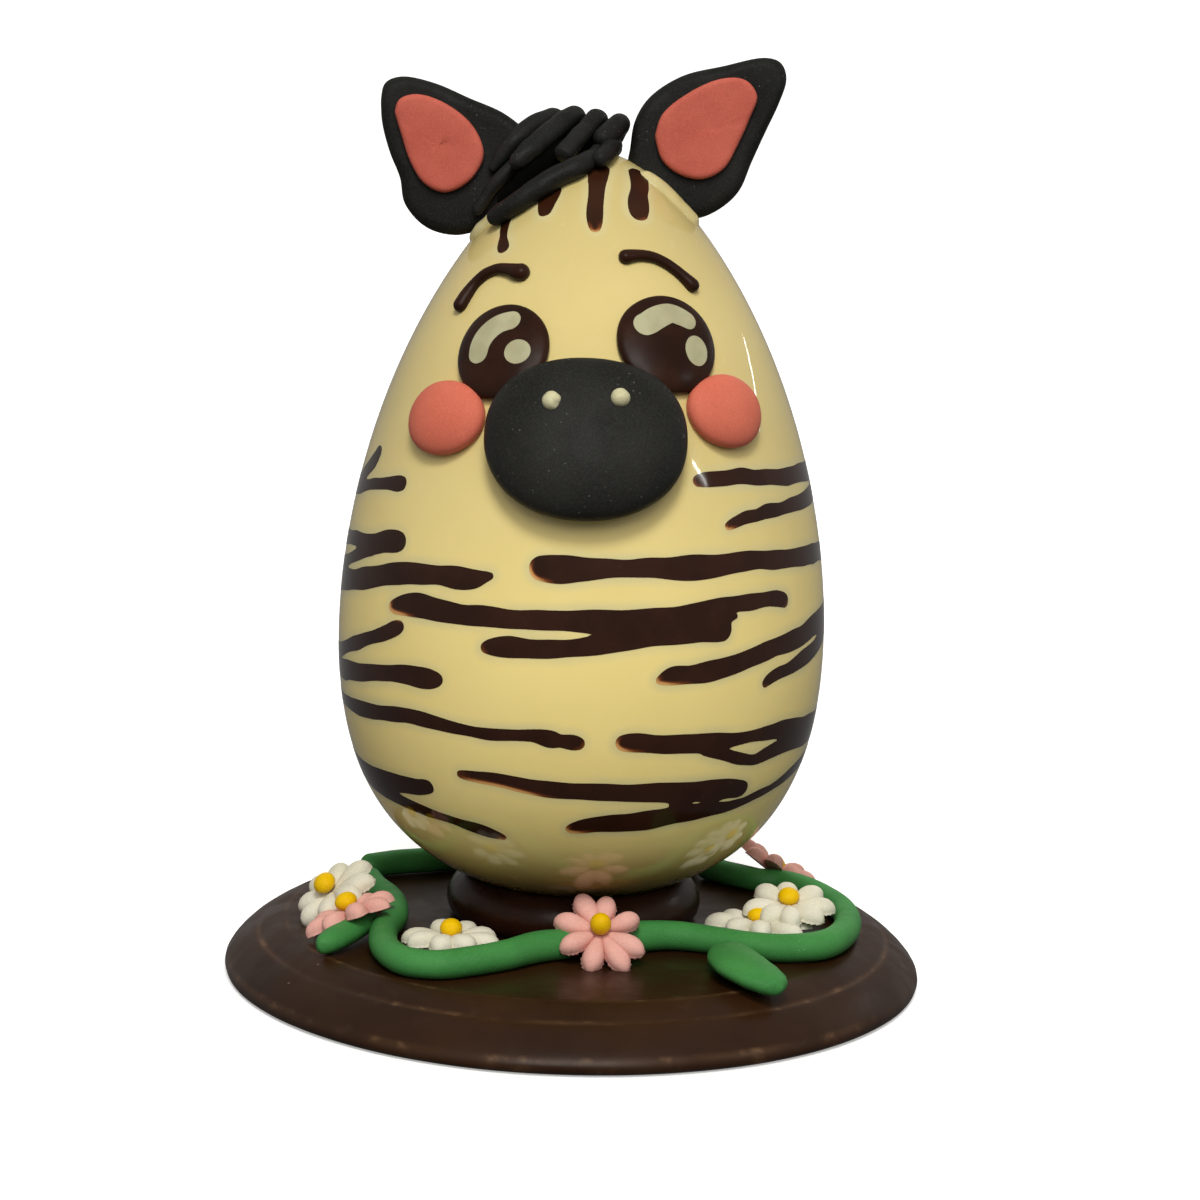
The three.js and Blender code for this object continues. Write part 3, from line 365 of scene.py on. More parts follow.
# Stripes are strokes of [degrees from the face, height up the shell, width]. The wide ones run
# round the back from one side of the face to the other.
STRIPES = {
    "stripe_shoulder": [
        [(26.8, 118, 2.2), (28.6, 118.5, 3.2), (31, 118.7, 3.8), (36, 118.8, 4.1), (41, 119.2, 4.3),
         (46.5, 118.6, 3.9), (51.5, 118.5, 4.2), (60, 118.1, 4.5), (70, 118.4, 4.9), (80, 118.1, 5.3),
         (100, 117, 5.5), (130, 114.5, 6.2), (160, 113, 5.4), (190, 112, 6.1), (220, 111.5, 5.5),
         (245, 111, 5.1), (265, 110, 5), (281, 110.5, 4), (294, 112.5, 3.2), (303, 113.6, 3.4),
         (308, 114.1, 4.2), (311, 114.4, 2.6)],
        [(34.4, 106.7, 1.6), (37, 107.8, 2.9), (41, 109, 3.4), (45, 109.4, 3.3), (49, 110.2, 3.8),
         (55, 110.3, 3.4), (62, 110.9, 3.9), (70, 111.4, 4.1), (78.6, 112.1, 4.6), (95, 113.6, 4.4),
         (112, 115, 4)],
        [(293.4, 121.8, 3.6), (291.8, 119, 5), (288, 116.2, 5), (283, 113.9, 4.6), (276, 111.4, 4.6),
         (268, 110.4, 4)],
    ],
    "stripe_chest": [
        [(-11.2, 96.9, 3.4), (-9.4, 96.9, 6), (-5, 96.7, 7), (0, 96.9, 6), (6, 97.3, 4.7),
         (11, 97.4, 4.6), (16, 97.5, 5), (21.5, 97.3, 5.9), (27, 97.4, 6.4), (32, 97.6, 5.7),
         (38, 98.2, 5.2), (44, 98.3, 4.7), (50, 97.8, 5), (56, 97.7, 4.7), (66, 97.4, 5.2),
         (78, 97.2, 5), (100, 94.4, 6), (125, 95.6, 5.6), (150, 94.8, 6.2), (175, 92.4, 5.6),
         (200, 93, 6.4), (228, 89, 6), (250, 85, 5.8), (265, 84, 6.2), (285, 86.3, 6), (293, 87.6, 5.5),
         (300, 88.8, 6), (307, 90.6, 5.5), (314, 92, 6), (320, 92.7, 5.3), (326, 93, 4.9),
         (331, 92.8, 5.8), (335, 93, 5), (338, 93.8, 3), (340, 94.3, 1.2)],
        [(314, 100.1, 3.2), (311.5, 99.8, 5.8), (307, 99.3, 6), (302, 98, 5.4), (296, 97.9, 4.2),
         (290, 97.9, 3.9), (278, 96.8, 4.1), (262, 95.5, 4.6), (245, 92.6, 4.3), (228, 90.6, 4)],
        [(303, 97, 3.6), (298, 95.6, 3.5), (292, 93.6, 3.5), (284, 91.4, 3.3), (274, 89.4, 3.6),
         (264, 86.6, 4)],
    ],
    "stripe_belly": [
        [(-48.2, 83.3, 1.8), (-46.4, 83.7, 4), (-43, 84.5, 5.6), (-39, 84.8, 6.3), (-34, 84.5, 5.6),
         (-27, 83.9, 4.9), (-22, 84.1, 5.2), (-14, 84, 4.8), (-6, 84.2, 5.1), (2, 84.5, 5.7),
         (9, 84.6, 5.4), (16, 84.8, 5.8), (21, 85.2, 5.4), (25, 86.2, 4.6), (30, 87.2, 4.6),
         (35, 87.9, 4), (40, 87.9, 4.4), (45, 88.2, 4), (49.5, 88.1, 4.4), (52.5, 87.5, 4),
         (53.6, 86.6, 2.4)],
        [(-21.8, 76.3, 2), (-19.6, 76.7, 4.2), (-15.6, 77, 5.5), (-10, 77, 4.8), (-5, 77.3, 4.7),
         (0, 77.9, 4.6), (4, 78.6, 4.8), (9, 79.9, 5.4), (15, 81, 5.6), (21, 81.6, 6), (27, 81.8, 5.7),
         (32, 81.7, 6), (34.8, 81.4, 4.4)],
        [(31, 84, 3), (34.4, 84.6, 2.2), (36.8, 84.8, 0.9)],
    ],
    "stripe_waist": [
        [(16.6, 69.4, 1.2), (18.4, 70.1, 3.4), (20.6, 70.7, 4.9), (24.5, 70.9, 4.8), (29, 71.5, 5.4),
         (33, 72.1, 5), (37, 72.9, 4.8), (41, 74, 4.8), (45, 75, 5.1), (49, 75.8, 4.7), (53, 76.3, 5.3),
         (60, 77.3, 5.4), (68, 79, 6), (76, 80, 6), (95, 80.2, 5.6), (115, 77.4, 6.2), (140, 76, 5.8),
         (165, 73.2, 6.4), (190, 73.4, 6), (215, 69.8, 5.8), (240, 67.8, 6.2), (262, 64.4, 6),
         (285, 62.5, 5.8), (292, 63.4, 5.4), (299, 64.2, 5), (306, 65.4, 4.5), (313, 66.4, 4.2),
         (318, 66.9, 5), (323, 66.8, 5.8), (326, 66.8, 4.8), (328.4, 67.3, 2)],
        [(45, 66.3, 1.8), (46.8, 67.7, 3.2), (50, 68.8, 3.5), (54, 69.5, 3.4), (61, 71.1, 4.6),
         (68, 72.6, 4.6), (75, 74.6, 5), (88, 78, 4.4)],
        [(316.4, 79.2, 1.8), (314.6, 78.4, 3.6), (310.6, 76.4, 3.8), (305, 74.4, 3.4),
         (298.5, 71.9, 3.9), (291, 69.6, 3.7), (285, 67.7, 3.8), (272, 65.8, 4), (262, 64.6, 4)],
    ],
    "stripe_hip": [
        [(8.8, 54, 2.4), (10.4, 54, 4.4), (13, 54, 5.1), (17, 53.6, 4.8), (22, 53.3, 5.1),
         (27, 53.2, 5.2), (32, 53.1, 5), (37, 53.2, 4), (43, 53.4, 3.3), (49, 53.5, 4.2),
         (55, 53.6, 4.9), (63, 52.9, 4.9), (73, 52.1, 5.6), (90, 50.6, 6.8), (108, 51.6, 5.8),
         (130, 53.4, 6), (155, 54.2, 5.2), (180, 56, 6.2), (210, 56, 5.3), (235, 56.2, 5),
         (255, 54.8, 4.4), (272, 54.6, 4), (287, 54.2, 3.4), (295, 54.4, 4.2), (303, 54.8, 4.4),
         (311, 55.6, 3.8), (319, 56.4, 4), (326, 55.8, 3.6), (332, 55.2, 3.1), (340, 54.7, 3.2),
         (346, 55, 2.9), (350, 55.2, 3.4), (354, 54.5, 4.6), (356, 54.2, 3.6), (359, 53.9, 4.2),
         (361.2, 53.4, 2)],
        [(28.6, 52, 3), (33, 50.2, 3.4), (37, 48.9, 3.3), (41, 47.6, 3.3), (45, 46.9, 3.1),
         (49, 47.6, 4), (53, 48.4, 4.7), (60, 49, 4.5), (68, 48.5, 4.8), (78, 48.9, 5),
         (90, 50.2, 4.6)],
    ],
    "stripe_foot": [
        [(-29, 43.1, 1.4), (-27, 43, 2.6), (-20, 42.9, 3.7), (-14, 42.1, 4.1), (-8, 41.3, 4.7),
         (-2, 41.1, 4.6), (4, 41, 5), (10, 40.8, 4.9), (16, 40.7, 5.4), (22, 40.4, 5.8),
         (28, 40.2, 5.8), (34, 40, 6.2), (39, 39.7, 5.6), (43, 39.2, 4.8), (45, 38.8, 3)],
        [(-2, 30.2, 1.8), (0, 30.8, 3.6), (5, 31.9, 4.9), (11, 32.2, 5.5), (17, 32.7, 6.2),
         (22, 33.4, 5.6), (26, 34, 5.5), (30, 34.2, 5.1), (35, 34.4, 4.4), (40, 34.5, 3.4),
         (45, 35, 2.9), (51, 36.3, 2.7), (58, 37.6, 2.8), (63, 38.8, 3.3), (68, 40, 3.7),
         (78, 41.4, 4.6), (100, 41.2, 5.6), (122, 39.6, 6), (145, 38, 5.4), (170, 36.8, 6.2),
         (195, 36.4, 5.6), (220, 37, 6), (240, 37.4, 5.3), (262, 37, 6), (280, 36.7, 6.2),
         (295, 36.3, 5.5), (306, 36.5, 5.7), (313, 36.8, 5.3), (318, 37.2, 4.6), (321, 37.9, 4),
         (322.8, 38.4, 2.2)],
        [(341.8, 26.3, 1.2), (339, 27, 2.8), (336, 27.8, 4), (331, 28.6, 3.3), (327, 29.4, 2.8),
         (322, 30, 2.9), (318, 30.4, 3.3), (312, 31.2, 3.8), (306, 31.9, 4.3), (295, 33, 4.8),
         (280, 35, 5), (268, 36.6, 4.4)],
        [(23, 37, 0.8), (25.4, 37.1, 1.8), (28.4, 37.2, 1.4)],
    ],
    "drip_1": [
        [(-57, 184.5, 3.6), (-50, 179.4, 3), (-46.6, 176.8, 2.4), (-43.1, 174.4, 3.6),
         (-41.2, 172.9, 2.8)],
    ],
    "drip_2": [[(-34, 191, 6.4), (-31.4, 187.8, 6), (-29.7, 185.2, 4.8), (-27.3, 182.2, 3)]],
    "drip_3": [
        [(5.4, 196.4, 5.4), (3, 193, 5.2), (1.1, 188.1, 4.3), (0.3, 183, 4.4), (0.6, 180.6, 3.6),
         (0.8, 178.8, 2)],
    ],
    "drip_4": [
        [(54, 195.4, 6), (42, 192.4, 5.6), (34.2, 189.4, 5), (29, 186.6, 6), (26.4, 184.2, 5.4),
         (26.4, 182.4, 3.4)],
    ],
}
# How far a stroke is felt, how much the corner between two is filled, and the distance from the
# middle at which degrees are turned to millimetres.
FAR = 6.0
FILLET = 0.45
GIRTH = 60
STROKE_STEP = 0.7


def along_shell(path, spacing):
    """Even points along a path of [degrees, height, value] on the shell."""
    a_degree = math.radians(GIRTH)
    line = through([(azimuth * a_degree, height, value) for azimuth, height, value in path], spacing)
    return line / (a_degree, 1, 1)


def without_ends(line, run):
    """A stroke of [.., .., width] from one round end's middle to the other's."""
    return line[(run >= line[0, 2] / 2) & (run <= run[-1] - line[-1, 2] / 2)]


def stroke_distance(strokes, azimuths, heights):
    """How far each place of a grid on the shell lies outside the strokes, in millimetres. Where
    two strokes meet, wet chocolate has filled the corner between them."""
    radius = np.maximum(egg_radius(heights), 1)
    slope = np.gradient(egg_radius(heights), heights)
    rise = np.concatenate([[0], np.cumsum(np.diff(heights) * np.sqrt(1 + slope[1:] ** 2))])
    total = np.zeros((len(azimuths), len(heights)))
    for path in strokes:
        middle = along_shell(path, STROKE_STEP)
        apart = np.full(total.shape, FAR)
        run = run_of(on_shell(middle[:, 0], middle[:, 1]))
        for azimuth, height, width in without_ends(middle, run):
            reach = width / 2 + FAR
            turn = np.degrees(reach / max(8, float(egg_radius(height)) - reach * 0.6))
            i0, i1 = np.searchsorted(azimuths, [azimuth - turn, azimuth + turn])
            j0, j1 = np.searchsorted(heights, [height - reach, height + reach])
            across = np.radians(azimuths[i0:i1, None] - azimuth) * radius[None, j0:j1]
            up = rise[None, j0:j1] - np.interp(height, heights, rise)
            window = apart[i0:i1, j0:j1]
            np.minimum(window, np.hypot(across, up) - width / 2, out=window)
        total += np.exp(-apart / FILLET)
    return np.minimum(-FILLET * np.log(total), FAR)


def between_cells(grid, columns, rows, at_column, at_row):
    """The grid's value at places between its columns and rows."""
    column = (at_column - columns[0]) / (columns[1] - columns[0])
    row = (at_row - rows[0]) / (rows[1] - rows[0])
    i = np.clip(column.astype(int), 0, len(columns) - 2)
    j = np.clip(row.astype(int), 0, len(rows) - 2)
    u, v = column - i, row - j
    value = ((1 - u) * (1 - v) * grid[i, j] + u * (1 - v) * grid[i + 1, j]
             + (1 - u) * v * grid[i, j + 1] + u * v * grid[i + 1, j + 1])
    return np.where((np.maximum(abs(u - 0.5), abs(v - 0.5)) <= 0.5001), value, FAR)


def mark(mesh, **marks):
    """Gives each corner of a mesh its own values, for a finish or a later step to read."""
    for name, values in marks.items():
        mesh.attributes.new(name, "FLOAT", "POINT").data.foreach_set("value", values)


cream = Finish("white_chocolate")
tree = cream.tree
level = level_in(tree, "Object")
tone = cream.clouds(34, 3, 1.0, 0.3, 0.7)
# Painted light and shade: the belly's colour is painted brighter than the crown's.
crown = cream.mix(tone, (217, 198, 134), (212, 193, 128))
belly = cream.mix(tone, (245, 224, 147), (240, 219, 141))
colour = cream.mix(ramp(tree, level, 0.09, 0.16), belly, crown)
# Painted shade: the top of the shell is painted darker.
colour = cream.mix(ramp(tree, level, 0.175, 0.215), colour, (196, 178, 118))
# Painted shadow: the shell darkens just above the foot.
colour = cream.mix(ramp(tree, level, 0.03, 0.047, 0.85, 0), colour, (96, 72, 34))
colour = cream.mix(cream.clouds(3.2, 4, 2.0, 0.6, 0.8, 0, 0.12), colour, (240, 224, 172))
cool = cream.both(ramp(tree, cream.marked("beside_stripe"), 0, 2.8, 1, 0),
                  cream.clouds(15, 2, 3.0, 0.3, 0.7, 0.2, 0.6))
colour = cream.mix(cool, colour, (202, 196, 152))
specks = cream.both(ramp(tree, cream.cells(60)["Distance"], 0.012, 0.022, 0.6, 0),
                    cream.clouds(23, 1, 4.0, 0.55, 0.6))
cream.set(Base_Color=cream.mix(specks, colour, (140, 116, 70)),
          Roughness=cream.clouds(12, 5, 5.0, 0.35, 0.75, 0.03, 0.075), Subsurface_Weight=0.12,
          Subsurface_Radius=(1.0, 0.7, 0.35), Subsurface_Scale=0.0025)
cream.bumps(cream.grain(30, 1, 6.0), 0.25, 0.3)

heights = EGG_HEIGHT * (1 - np.cos(np.pi * np.arange(1, SHELL_RINGS) / SHELL_RINGS)) / 2
section = [(float(egg_radius(h)), EGG_BOTTOM + h) for h in heights]
points, faces = turned([(0, EGG_BOTTOM), *section, (0, EGG_BOTTOM + EGG_HEIGHT)], SHELL_SIDES)
columns, rows = np.arange(-60, 420, SHELL_GRID), np.arange(20, 199.5, SHELL_GRID)
gap = np.min([stroke_distance(strokes, columns, rows) for strokes in STRIPES.values()], axis=0)
azimuth = np.degrees(np.arctan2(points[:, 0], -points[:, 1]))
height = points[:, 2] - EGG_BOTTOM
shell = make_piece("white_shell", points, faces, cream, "egg_shell", "white_chocolate")
beside = [between_cells(gap, columns, rows, azimuth + turn, height) for turn in (0, 360)]
mark(shell.data, beside_stripe=np.minimum(*beside))

# ==== Stripes and forehead drips ============================================================
# Dark chocolate brushed and piped into the mould before the white went in, so it lies flush in
# the shell. The bands shine like the shell and the drips are duller. Where a stroke began it is
# thin, and glows amber.
BAND_TOP, BAND_UNDER = 0.05, -0.5
# The grid that an edge is cut on: its margin and step in degrees, then both in millimetres.
BAND_GRID, DRIP_GRID = (12, 0.45), (25, 0.6)
UP_MARGIN, UP_STEP, HIGHEST = 6, 0.45, 199
EDGE_WAVER, WAVER_REACH = 0.3, 4
# Strokes of [degrees from the face, height up the shell, how thin] along the thin edges.
THIN_EDGES = [
    [(-11.8, 98.2, 0.3), (-12, 95.6, 1), (-10.4, 94, 0.9), (-7.6, 93.4, 0.5)],
    [(-48.6, 83.2, 0.9), (-47, 82.2, 1), (-44, 81.6, 0.9), (-41, 81.4, 0.5)],
    [(-22, 76.8, 0.3), (-21.6, 75.6, 0.5)],
    [(16.4, 69.6, 0.7), (17.6, 68.8, 1), (20.6, 68.2, 0.8), (24, 68.4, 0.4)],
    [(8.6, 54.6, 0.5), (9, 52.6, 1), (11.4, 51.6, 0.7), (14, 51.4, 0.4)],
    [(-29, 43, 0.4), (-26, 42, 0.7), (-21, 41, 1), (-16, 40.2, 1.1), (-12, 39.4, 1), (-8, 38.8, 0.6),
     (-5, 38.7, 0.3)], [(34.2, 107, 0.4), (35, 105.8, 1), (37, 106, 0.6)],
    [(26.6, 118.4, 0.5), (27.2, 116.6, 0.6), (29, 116.8, 0.3)], [(341.6, 26, 0.6), (340, 25.9, 0.7)],
    [(-2.2, 30.4, 0.6), (-1.4, 29.4, 1), (1.6, 29.2, 0.7), (4, 29.4, 0.4)],
    [(361.6, 53.2, 0.5), (360, 52, 0.4)], [(45, 65.8, 0.4), (46, 66, 0.4)],
    [(53.8, 86.4, 0.4), (53, 85.6, 0.4)], [(-1.6, 180.6, 0.4), (0.9, 177.9, 0.9), (3, 180.6, 0.4)],
    [(-27, 181.6, 0.5), (-25.4, 181, 0.7)], [(-40.6, 171.8, 0.7), (-39.2, 171.4, 0.9)],
    [(26, 182.4, 0.4), (28.6, 181.8, 0.6)],
]
THIN_REACH, THIN_STEP = 1.9, 0.8


def flat_patch(field, columns, rows):
    """The part of a grid where the field is below nothing, cut off cleanly along its edge: the
    places as (column, row) values, and the faces."""
    places, faces, known = [], [], {}

    def place(key, column, row):
        if key not in known:
            known[key] = len(places)
            places.append((column, row))
        return known[key]

    def crossing(i, j, m, n):
        share = field[i, j] / (field[i, j] - field[m, n])
        return place((min(i, m), min(j, n), i != m), columns[i] + share * (columns[m] - columns[i]),
                     rows[j] + share * (rows[n] - rows[j]))

    low = field < 0
    some = low[:-1, :-1] | low[1:, :-1] | low[:-1, 1:] | low[1:, 1:]
    for i, j in zip(*np.nonzero(some)):
        corners = [(i, j), (i + 1, j), (i + 1, j + 1), (i, j + 1)]
        face = []
        for (a, b), (c, d) in zip(corners, corners[1:] + corners[:1]):
            if low[a, b]:
                face.append(place((a, b), columns[a], rows[b]))
            if low[a, b] != low[c, d]:
                face.append(crossing(a, b, c, d))
        if len(face) > 2:
            faces.append(face)
    return np.array(places), faces


def inlay(name, faces, upper, lower, finish, node, slot):
    """A thin closed plate from a flat patch's faces, between its upper and lower surfaces."""
    count = len(upper)
    sides = dict.fromkeys((a, b) for face in faces for a, b in zip(face, face[1:] + face[:1]))
    rim = [(a, b) for a, b in sides if (b, a) not in sides]
    walls = [[b, a, a + count, b + count] for a, b in rim]
    under = [[c + count for c in reversed(face)] for face in faces]
    piece = make_piece(name, np.vstack([upper, lower]), faces + under + walls, finish, node, slot)
    sharp = {tuple(sorted((a + k, b + k))) for a, b in rim for k in (0, count)}
    for edge in piece.data.edges:
        if tuple(sorted(edge.vertices)) in sharp:
            edge.use_edge_sharp = True
    return piece


def poured(name, shade, lighter, rough, shine):
    """Dark chocolate poured into the mould, which runs out to amber where it is thin."""
    finish = Finish(name)
    tree = finish.tree
    colour = finish.mix(finish.clouds(12, 3, 1.0, 0.35, 0.65), shade, lighter)
    colour = finish.mix(finish.clouds(2.2, 4, 2.0, 0.62, 0.78, 0, 0.25), colour, (74, 53, 46))
    thin = finish.both(finish.marked("thin"), ramp(tree, finish.marked("inside"), 0.2, 2.1, 1, 0))
    amber = finish.mix(ramp(tree, thin, 0.45, 0.9), (112, 58, 26), (206, 152, 92))
    finish.set(Base_Color=finish.mix(ramp(tree, thin, 0.15, 0.65), colour, amber),
               Roughness=finish.clouds(8, 5, 5.0, 0.4, 0.75, *rough), Specular_IOR_Level=shine)
    return finish


band_chocolate = poured("band_chocolate", (42, 21, 12), (51, 27, 17), (0.08, 0.2), 0.26)
drip_chocolate = poured("drip_chocolate", (42, 20, 8), (52, 27, 12), (0.34, 0.46), 0.2)
for stripe, strokes in STRIPES.items():
    is_drip = stripe.startswith("drip")
    margin, step = DRIP_GRID if is_drip else BAND_GRID
    azimuths, heights, _ = np.array([spot for path in strokes for spot in path]).T
    columns = np.arange(azimuths.min() - margin, azimuths.max() + margin, step)
    rows = np.arange(heights.min() - UP_MARGIN, min(HIGHEST, heights.max() + UP_MARGIN), UP_STEP)
    field = stroke_distance(strokes, columns, rows)
    turns = np.radians(columns)
    waver = np.array([[noise.noise(Vector((math.sin(t) * 9, math.cos(t) * 9, h / 5))) for h in rows]
                      for t in turns])
    field = np.where(field < WAVER_REACH, field + EDGE_WAVER * waver, field)
    places, faces = flat_patch(field, columns, rows)
    across, up = places.T
    on_face = on_shell(across, up)
    thin = np.zeros(len(places))
    for edge in THIN_EDGES:
        for azimuth, height, strength in along_shell(edge, THIN_STEP):
            apart = np.linalg.norm(on_face - on_shell(azimuth, height), axis=1)
            thin = np.maximum(thin, strength * np.exp(-(apart / THIN_REACH) ** 2))
    inside = np.maximum(0, -between_cells(field, columns, rows, across, up))
    band = inlay(f"{stripe}_inlay", faces, on_shell(across, up, BAND_TOP),
                 on_shell(across, up, BAND_UNDER), drip_chocolate if is_drip else band_chocolate,
                 stripe, "dark_chocolate")
    mark(band.data, thin=np.tile(thin, 2), inside=np.tile(inside, 2))

# ==== Eyes ==================================================================================
# Flat drops of dark chocolate set on the shell, each with a bean and a dot of white chocolate
# let into it while it was soft. They have a soft shine and rounded edges.
EYES = {
    "left": {
        "at": (-26.3, 147.8), "size": (25.3, 25.2),
        "gleam": [(-20.9, 155.1, 4.8), (-24, 154.7, 5.1), (-27.7, 153.6, 5.4), (-30.7, 151.3, 5.8),
                  (-32, 148.7, 5.9), (-31.6, 144, 5.2)],
        "spark": (-20, 147.3, 6.7, 6.3),
    },
    "right": {
        "at": (23.9, 150.8), "size": (27, 25.9),
        "gleam": [(13.1, 154, 5.2), (16.7, 154.9, 5.8), (20.2, 156.4, 5.9), (24.7, 157.5, 5.3),
                  (28, 156.8, 5.2), (32.9, 154.8, 4.3)],
        "spark": (31.2, 148.6, 6.6, 7.9),
    },
}
EYE_SHAPE = {"thickness": 3.8, "waist": 1.5, "fullness": 2.5}
DROP_FACE = 3
DROP_HALF, DROP_GRID = 15, 0.22
GLEAM_TOP, GLEAM_UNDER = 0.07, -0.6
SEAT = 0.1


def lean_at(height):
    """How far the shell leans back at a height."""
    return math.atan(float(egg_radius(height - 0.5) - egg_radius(height + 0.5)))


def over_shell(at, right, up, lift):
    """Points reached by going right and up over the shell from a place on it."""
    level = at[1] + np.asarray(up, float) * math.cos(lean_at(at[1]))
    return on_shell(at[0] + np.degrees(np.asarray(right) / (egg_radius(level) + lift)), level, lift)


def bulged(value, power):
    """A power of value that keeps its sign."""
    return np.sign(value) * np.abs(value) ** power


def pad(at, size, thickness, waist, fullness, boxy=2.0, wobble=0.0, seed=0, sides=140):
    """Corners and faces of a pressed pad on the shell. It is widest at its waist, and the higher
    its fullness, the flatter its face and the steeper its sides."""
    swings = np.linspace(0, math.pi / 2, 26)
    profile = [(0, SEAT), (0.5, SEAT), (0.88, SEAT)]
    profile += [(0.9 + 0.1 * math.cos(t), waist - (waist - SEAT) * math.sin(t)) for t in swings[:0:-4]]
    power = 2 / fullness
    profile += [(math.cos(t) ** power, waist + (thickness - waist) * math.sin(t) ** power)
                for t in swings[:-1]]
    angle = 2 * np.pi * np.arange(sides) / sides
    sway = 1 + wobble * np.array([noise.noise(Vector((math.cos(a) * 1.2, math.sin(a) * 1.2, seed)))
                                  for a in angle])
    across = sway * bulged(np.cos(angle), 2 / boxy) * size[0] / 2
    along = sway * bulged(np.sin(angle), 2 / boxy) * size[1] / 2
    return skinned([over_shell(at, scale * across, scale * along, lift) if scale
                    else [over_shell(at, 0, 0, lift)] for scale, lift in profile + [(0, thickness)]])


def pad_lift(right, up, size, thickness, waist, fullness):
    """How far the pad's face stands off the shell at a place on it."""
    out = np.hypot(np.asarray(right) / (size[0] / 2), np.asarray(up) / (size[1] / 2))
    return waist + (thickness - waist) * (1 - np.clip(out, 0, 1) ** fullness) ** (1 / fullness)


def on_drop(at, azimuth, height):
    """How many millimetres right of a drop's middle and up from it a place lies."""
    right = math.radians(azimuth - at[0]) * (float(egg_radius(height)) + DROP_FACE)
    return right, (height - at[1]) / math.cos(lean_at(at[1]))


drop_white = Finish("drop_white")
tone = drop_white.clouds(5, 4, 1.0, 0.35, 0.65)
drop_white.set(Base_Color=drop_white.mix(tone, (164, 159, 125), (176, 172, 138)),
               Roughness=drop_white.clouds(3, 4, 2.0, 0.35, 0.7, 0.3, 0.45), Subsurface_Weight=0.1,
               Subsurface_Scale=0.002)
drop_white.bumps(drop_white.grain(2.5, 3, 3.0), 0.1, 0.4)

columns = np.arange(-DROP_HALF, DROP_HALF, DROP_GRID)
right, up = np.meshgrid(columns, columns, indexing="ij")
for side, eye in EYES.items():
    at, size = eye["at"], eye["size"]
    points, faces = pad(at, size, **EYE_SHAPE, wobble=0.012, seed=3)
    make_piece(f"eye_drop_{side}", points, faces, glossy, f"eye_{side}", "dark_chocolate")
    path = through([(*on_drop(at, *spot), width) for *spot, width in eye["gleam"]], 0.4)
    bean = np.min([np.hypot(right - x, up - y) - width / 2
                   for x, y, width in without_ends(path, run_of(path[:, :2]))], axis=0)
    *spot, wide, tall = eye["spark"]
    x, y = on_drop(at, *spot)
    dot = (np.hypot((right - x) / wide, (up - y) / tall) - 0.5) * (wide + tall) / 2
    for name, field in (("gleam", bean), ("spark", dot)):
        places, faces = flat_patch(field, columns, columns)
        lift = pad_lift(*places.T, size, **EYE_SHAPE)
        inlay(f"{name}_{side}_inlay", faces, over_shell(at, *places.T, lift + GLEAM_TOP),
              over_shell(at, *places.T, lift + GLEAM_UNDER), drop_white, f"{name}_{side}",
              "white_chocolate")

# ==== Muzzle and nostrils ===================================================================
# A fat oval cushion of black sugar paste, pressed on below the eyes. It is matt, with a fine
# dust of icing sugar, and two beads of white chocolate are pushed in as nostrils.
MUZZLE_AT, MUZZLE_SIZE = (-0.3, 126.8), (51.7, 39.3)
MUZZLE_SHAPE = {"thickness": 12.2, "waist": 5.4, "fullness": 2.5, "boxy": 2.15}
# Degrees from the face, height up the shell, and how deep the bead is dented.
NOSTRILS = {"left": (-7.8, 134, 0.3), "right": (6.9, 135.1, 0.1)}
NOSTRIL_LIFT, NOSTRIL_RADIUS = 11.4, 2.4


def paste(name, shade, lighter, dust=0.0, dust_colour=(150, 150, 146), rough=(0.55, 0.72), shine=0.28,
          grain=0.14):
    """Sugar paste: matt, faintly lumpy from the hand, with icing sugar caught on it."""
    finish = Finish(name)
    colour = finish.mix(finish.clouds(13, 3, 1.0, 0.3, 0.7), shade, lighter)
    paler = tuple(min(255, int(part * 1.3 + 6)) for part in lighter)
    colour = finish.mix(finish.clouds(0.5, 2, 2.0, 0.35, 0.7, 0, grain), colour, paler)
    if dust:
        cells = finish.cells(800)
        chosen = add_node(finish.tree, "ShaderNodeSeparateColor", Color=cells["Color"]).outputs[0]
        specks = finish.both(ramp(finish.tree, cells["Distance"], 0.05, 0.2, dust, 0),
                             finish.clouds(9, 3, 3.0, 0.44, 0.7))
        specks = finish.both(specks, ramp(finish.tree, chosen, 0.3, 1))
        colour = finish.mix(specks, colour, dust_colour)
    finish.set(Base_Color=colour, Roughness=finish.clouds(6, 4, 4.0, 0.35, 0.7, *rough),
               Specular_IOR_Level=shine)
    finish.bumps(finish.grain(0.6, 3, 5.0), 0.35 * grain, 0.4)
    finish.bumps(finish.grain(6, 2, 6.0), 0.25, 0.4)
    return finish


def bead(centre, radius, squash=1.0, sides=32):
    """Corners and faces of a round bead."""
    swings = np.linspace(-math.pi / 2, math.pi / 2, sides // 2 + 1)[1:-1]
    section = [(radius * math.cos(a), radius * squash * math.sin(a)) for a in swings]
    points, faces = turned([(0, -radius * squash), *section, (0, radius * squash)], sides)
    return points + np.array(centre), faces


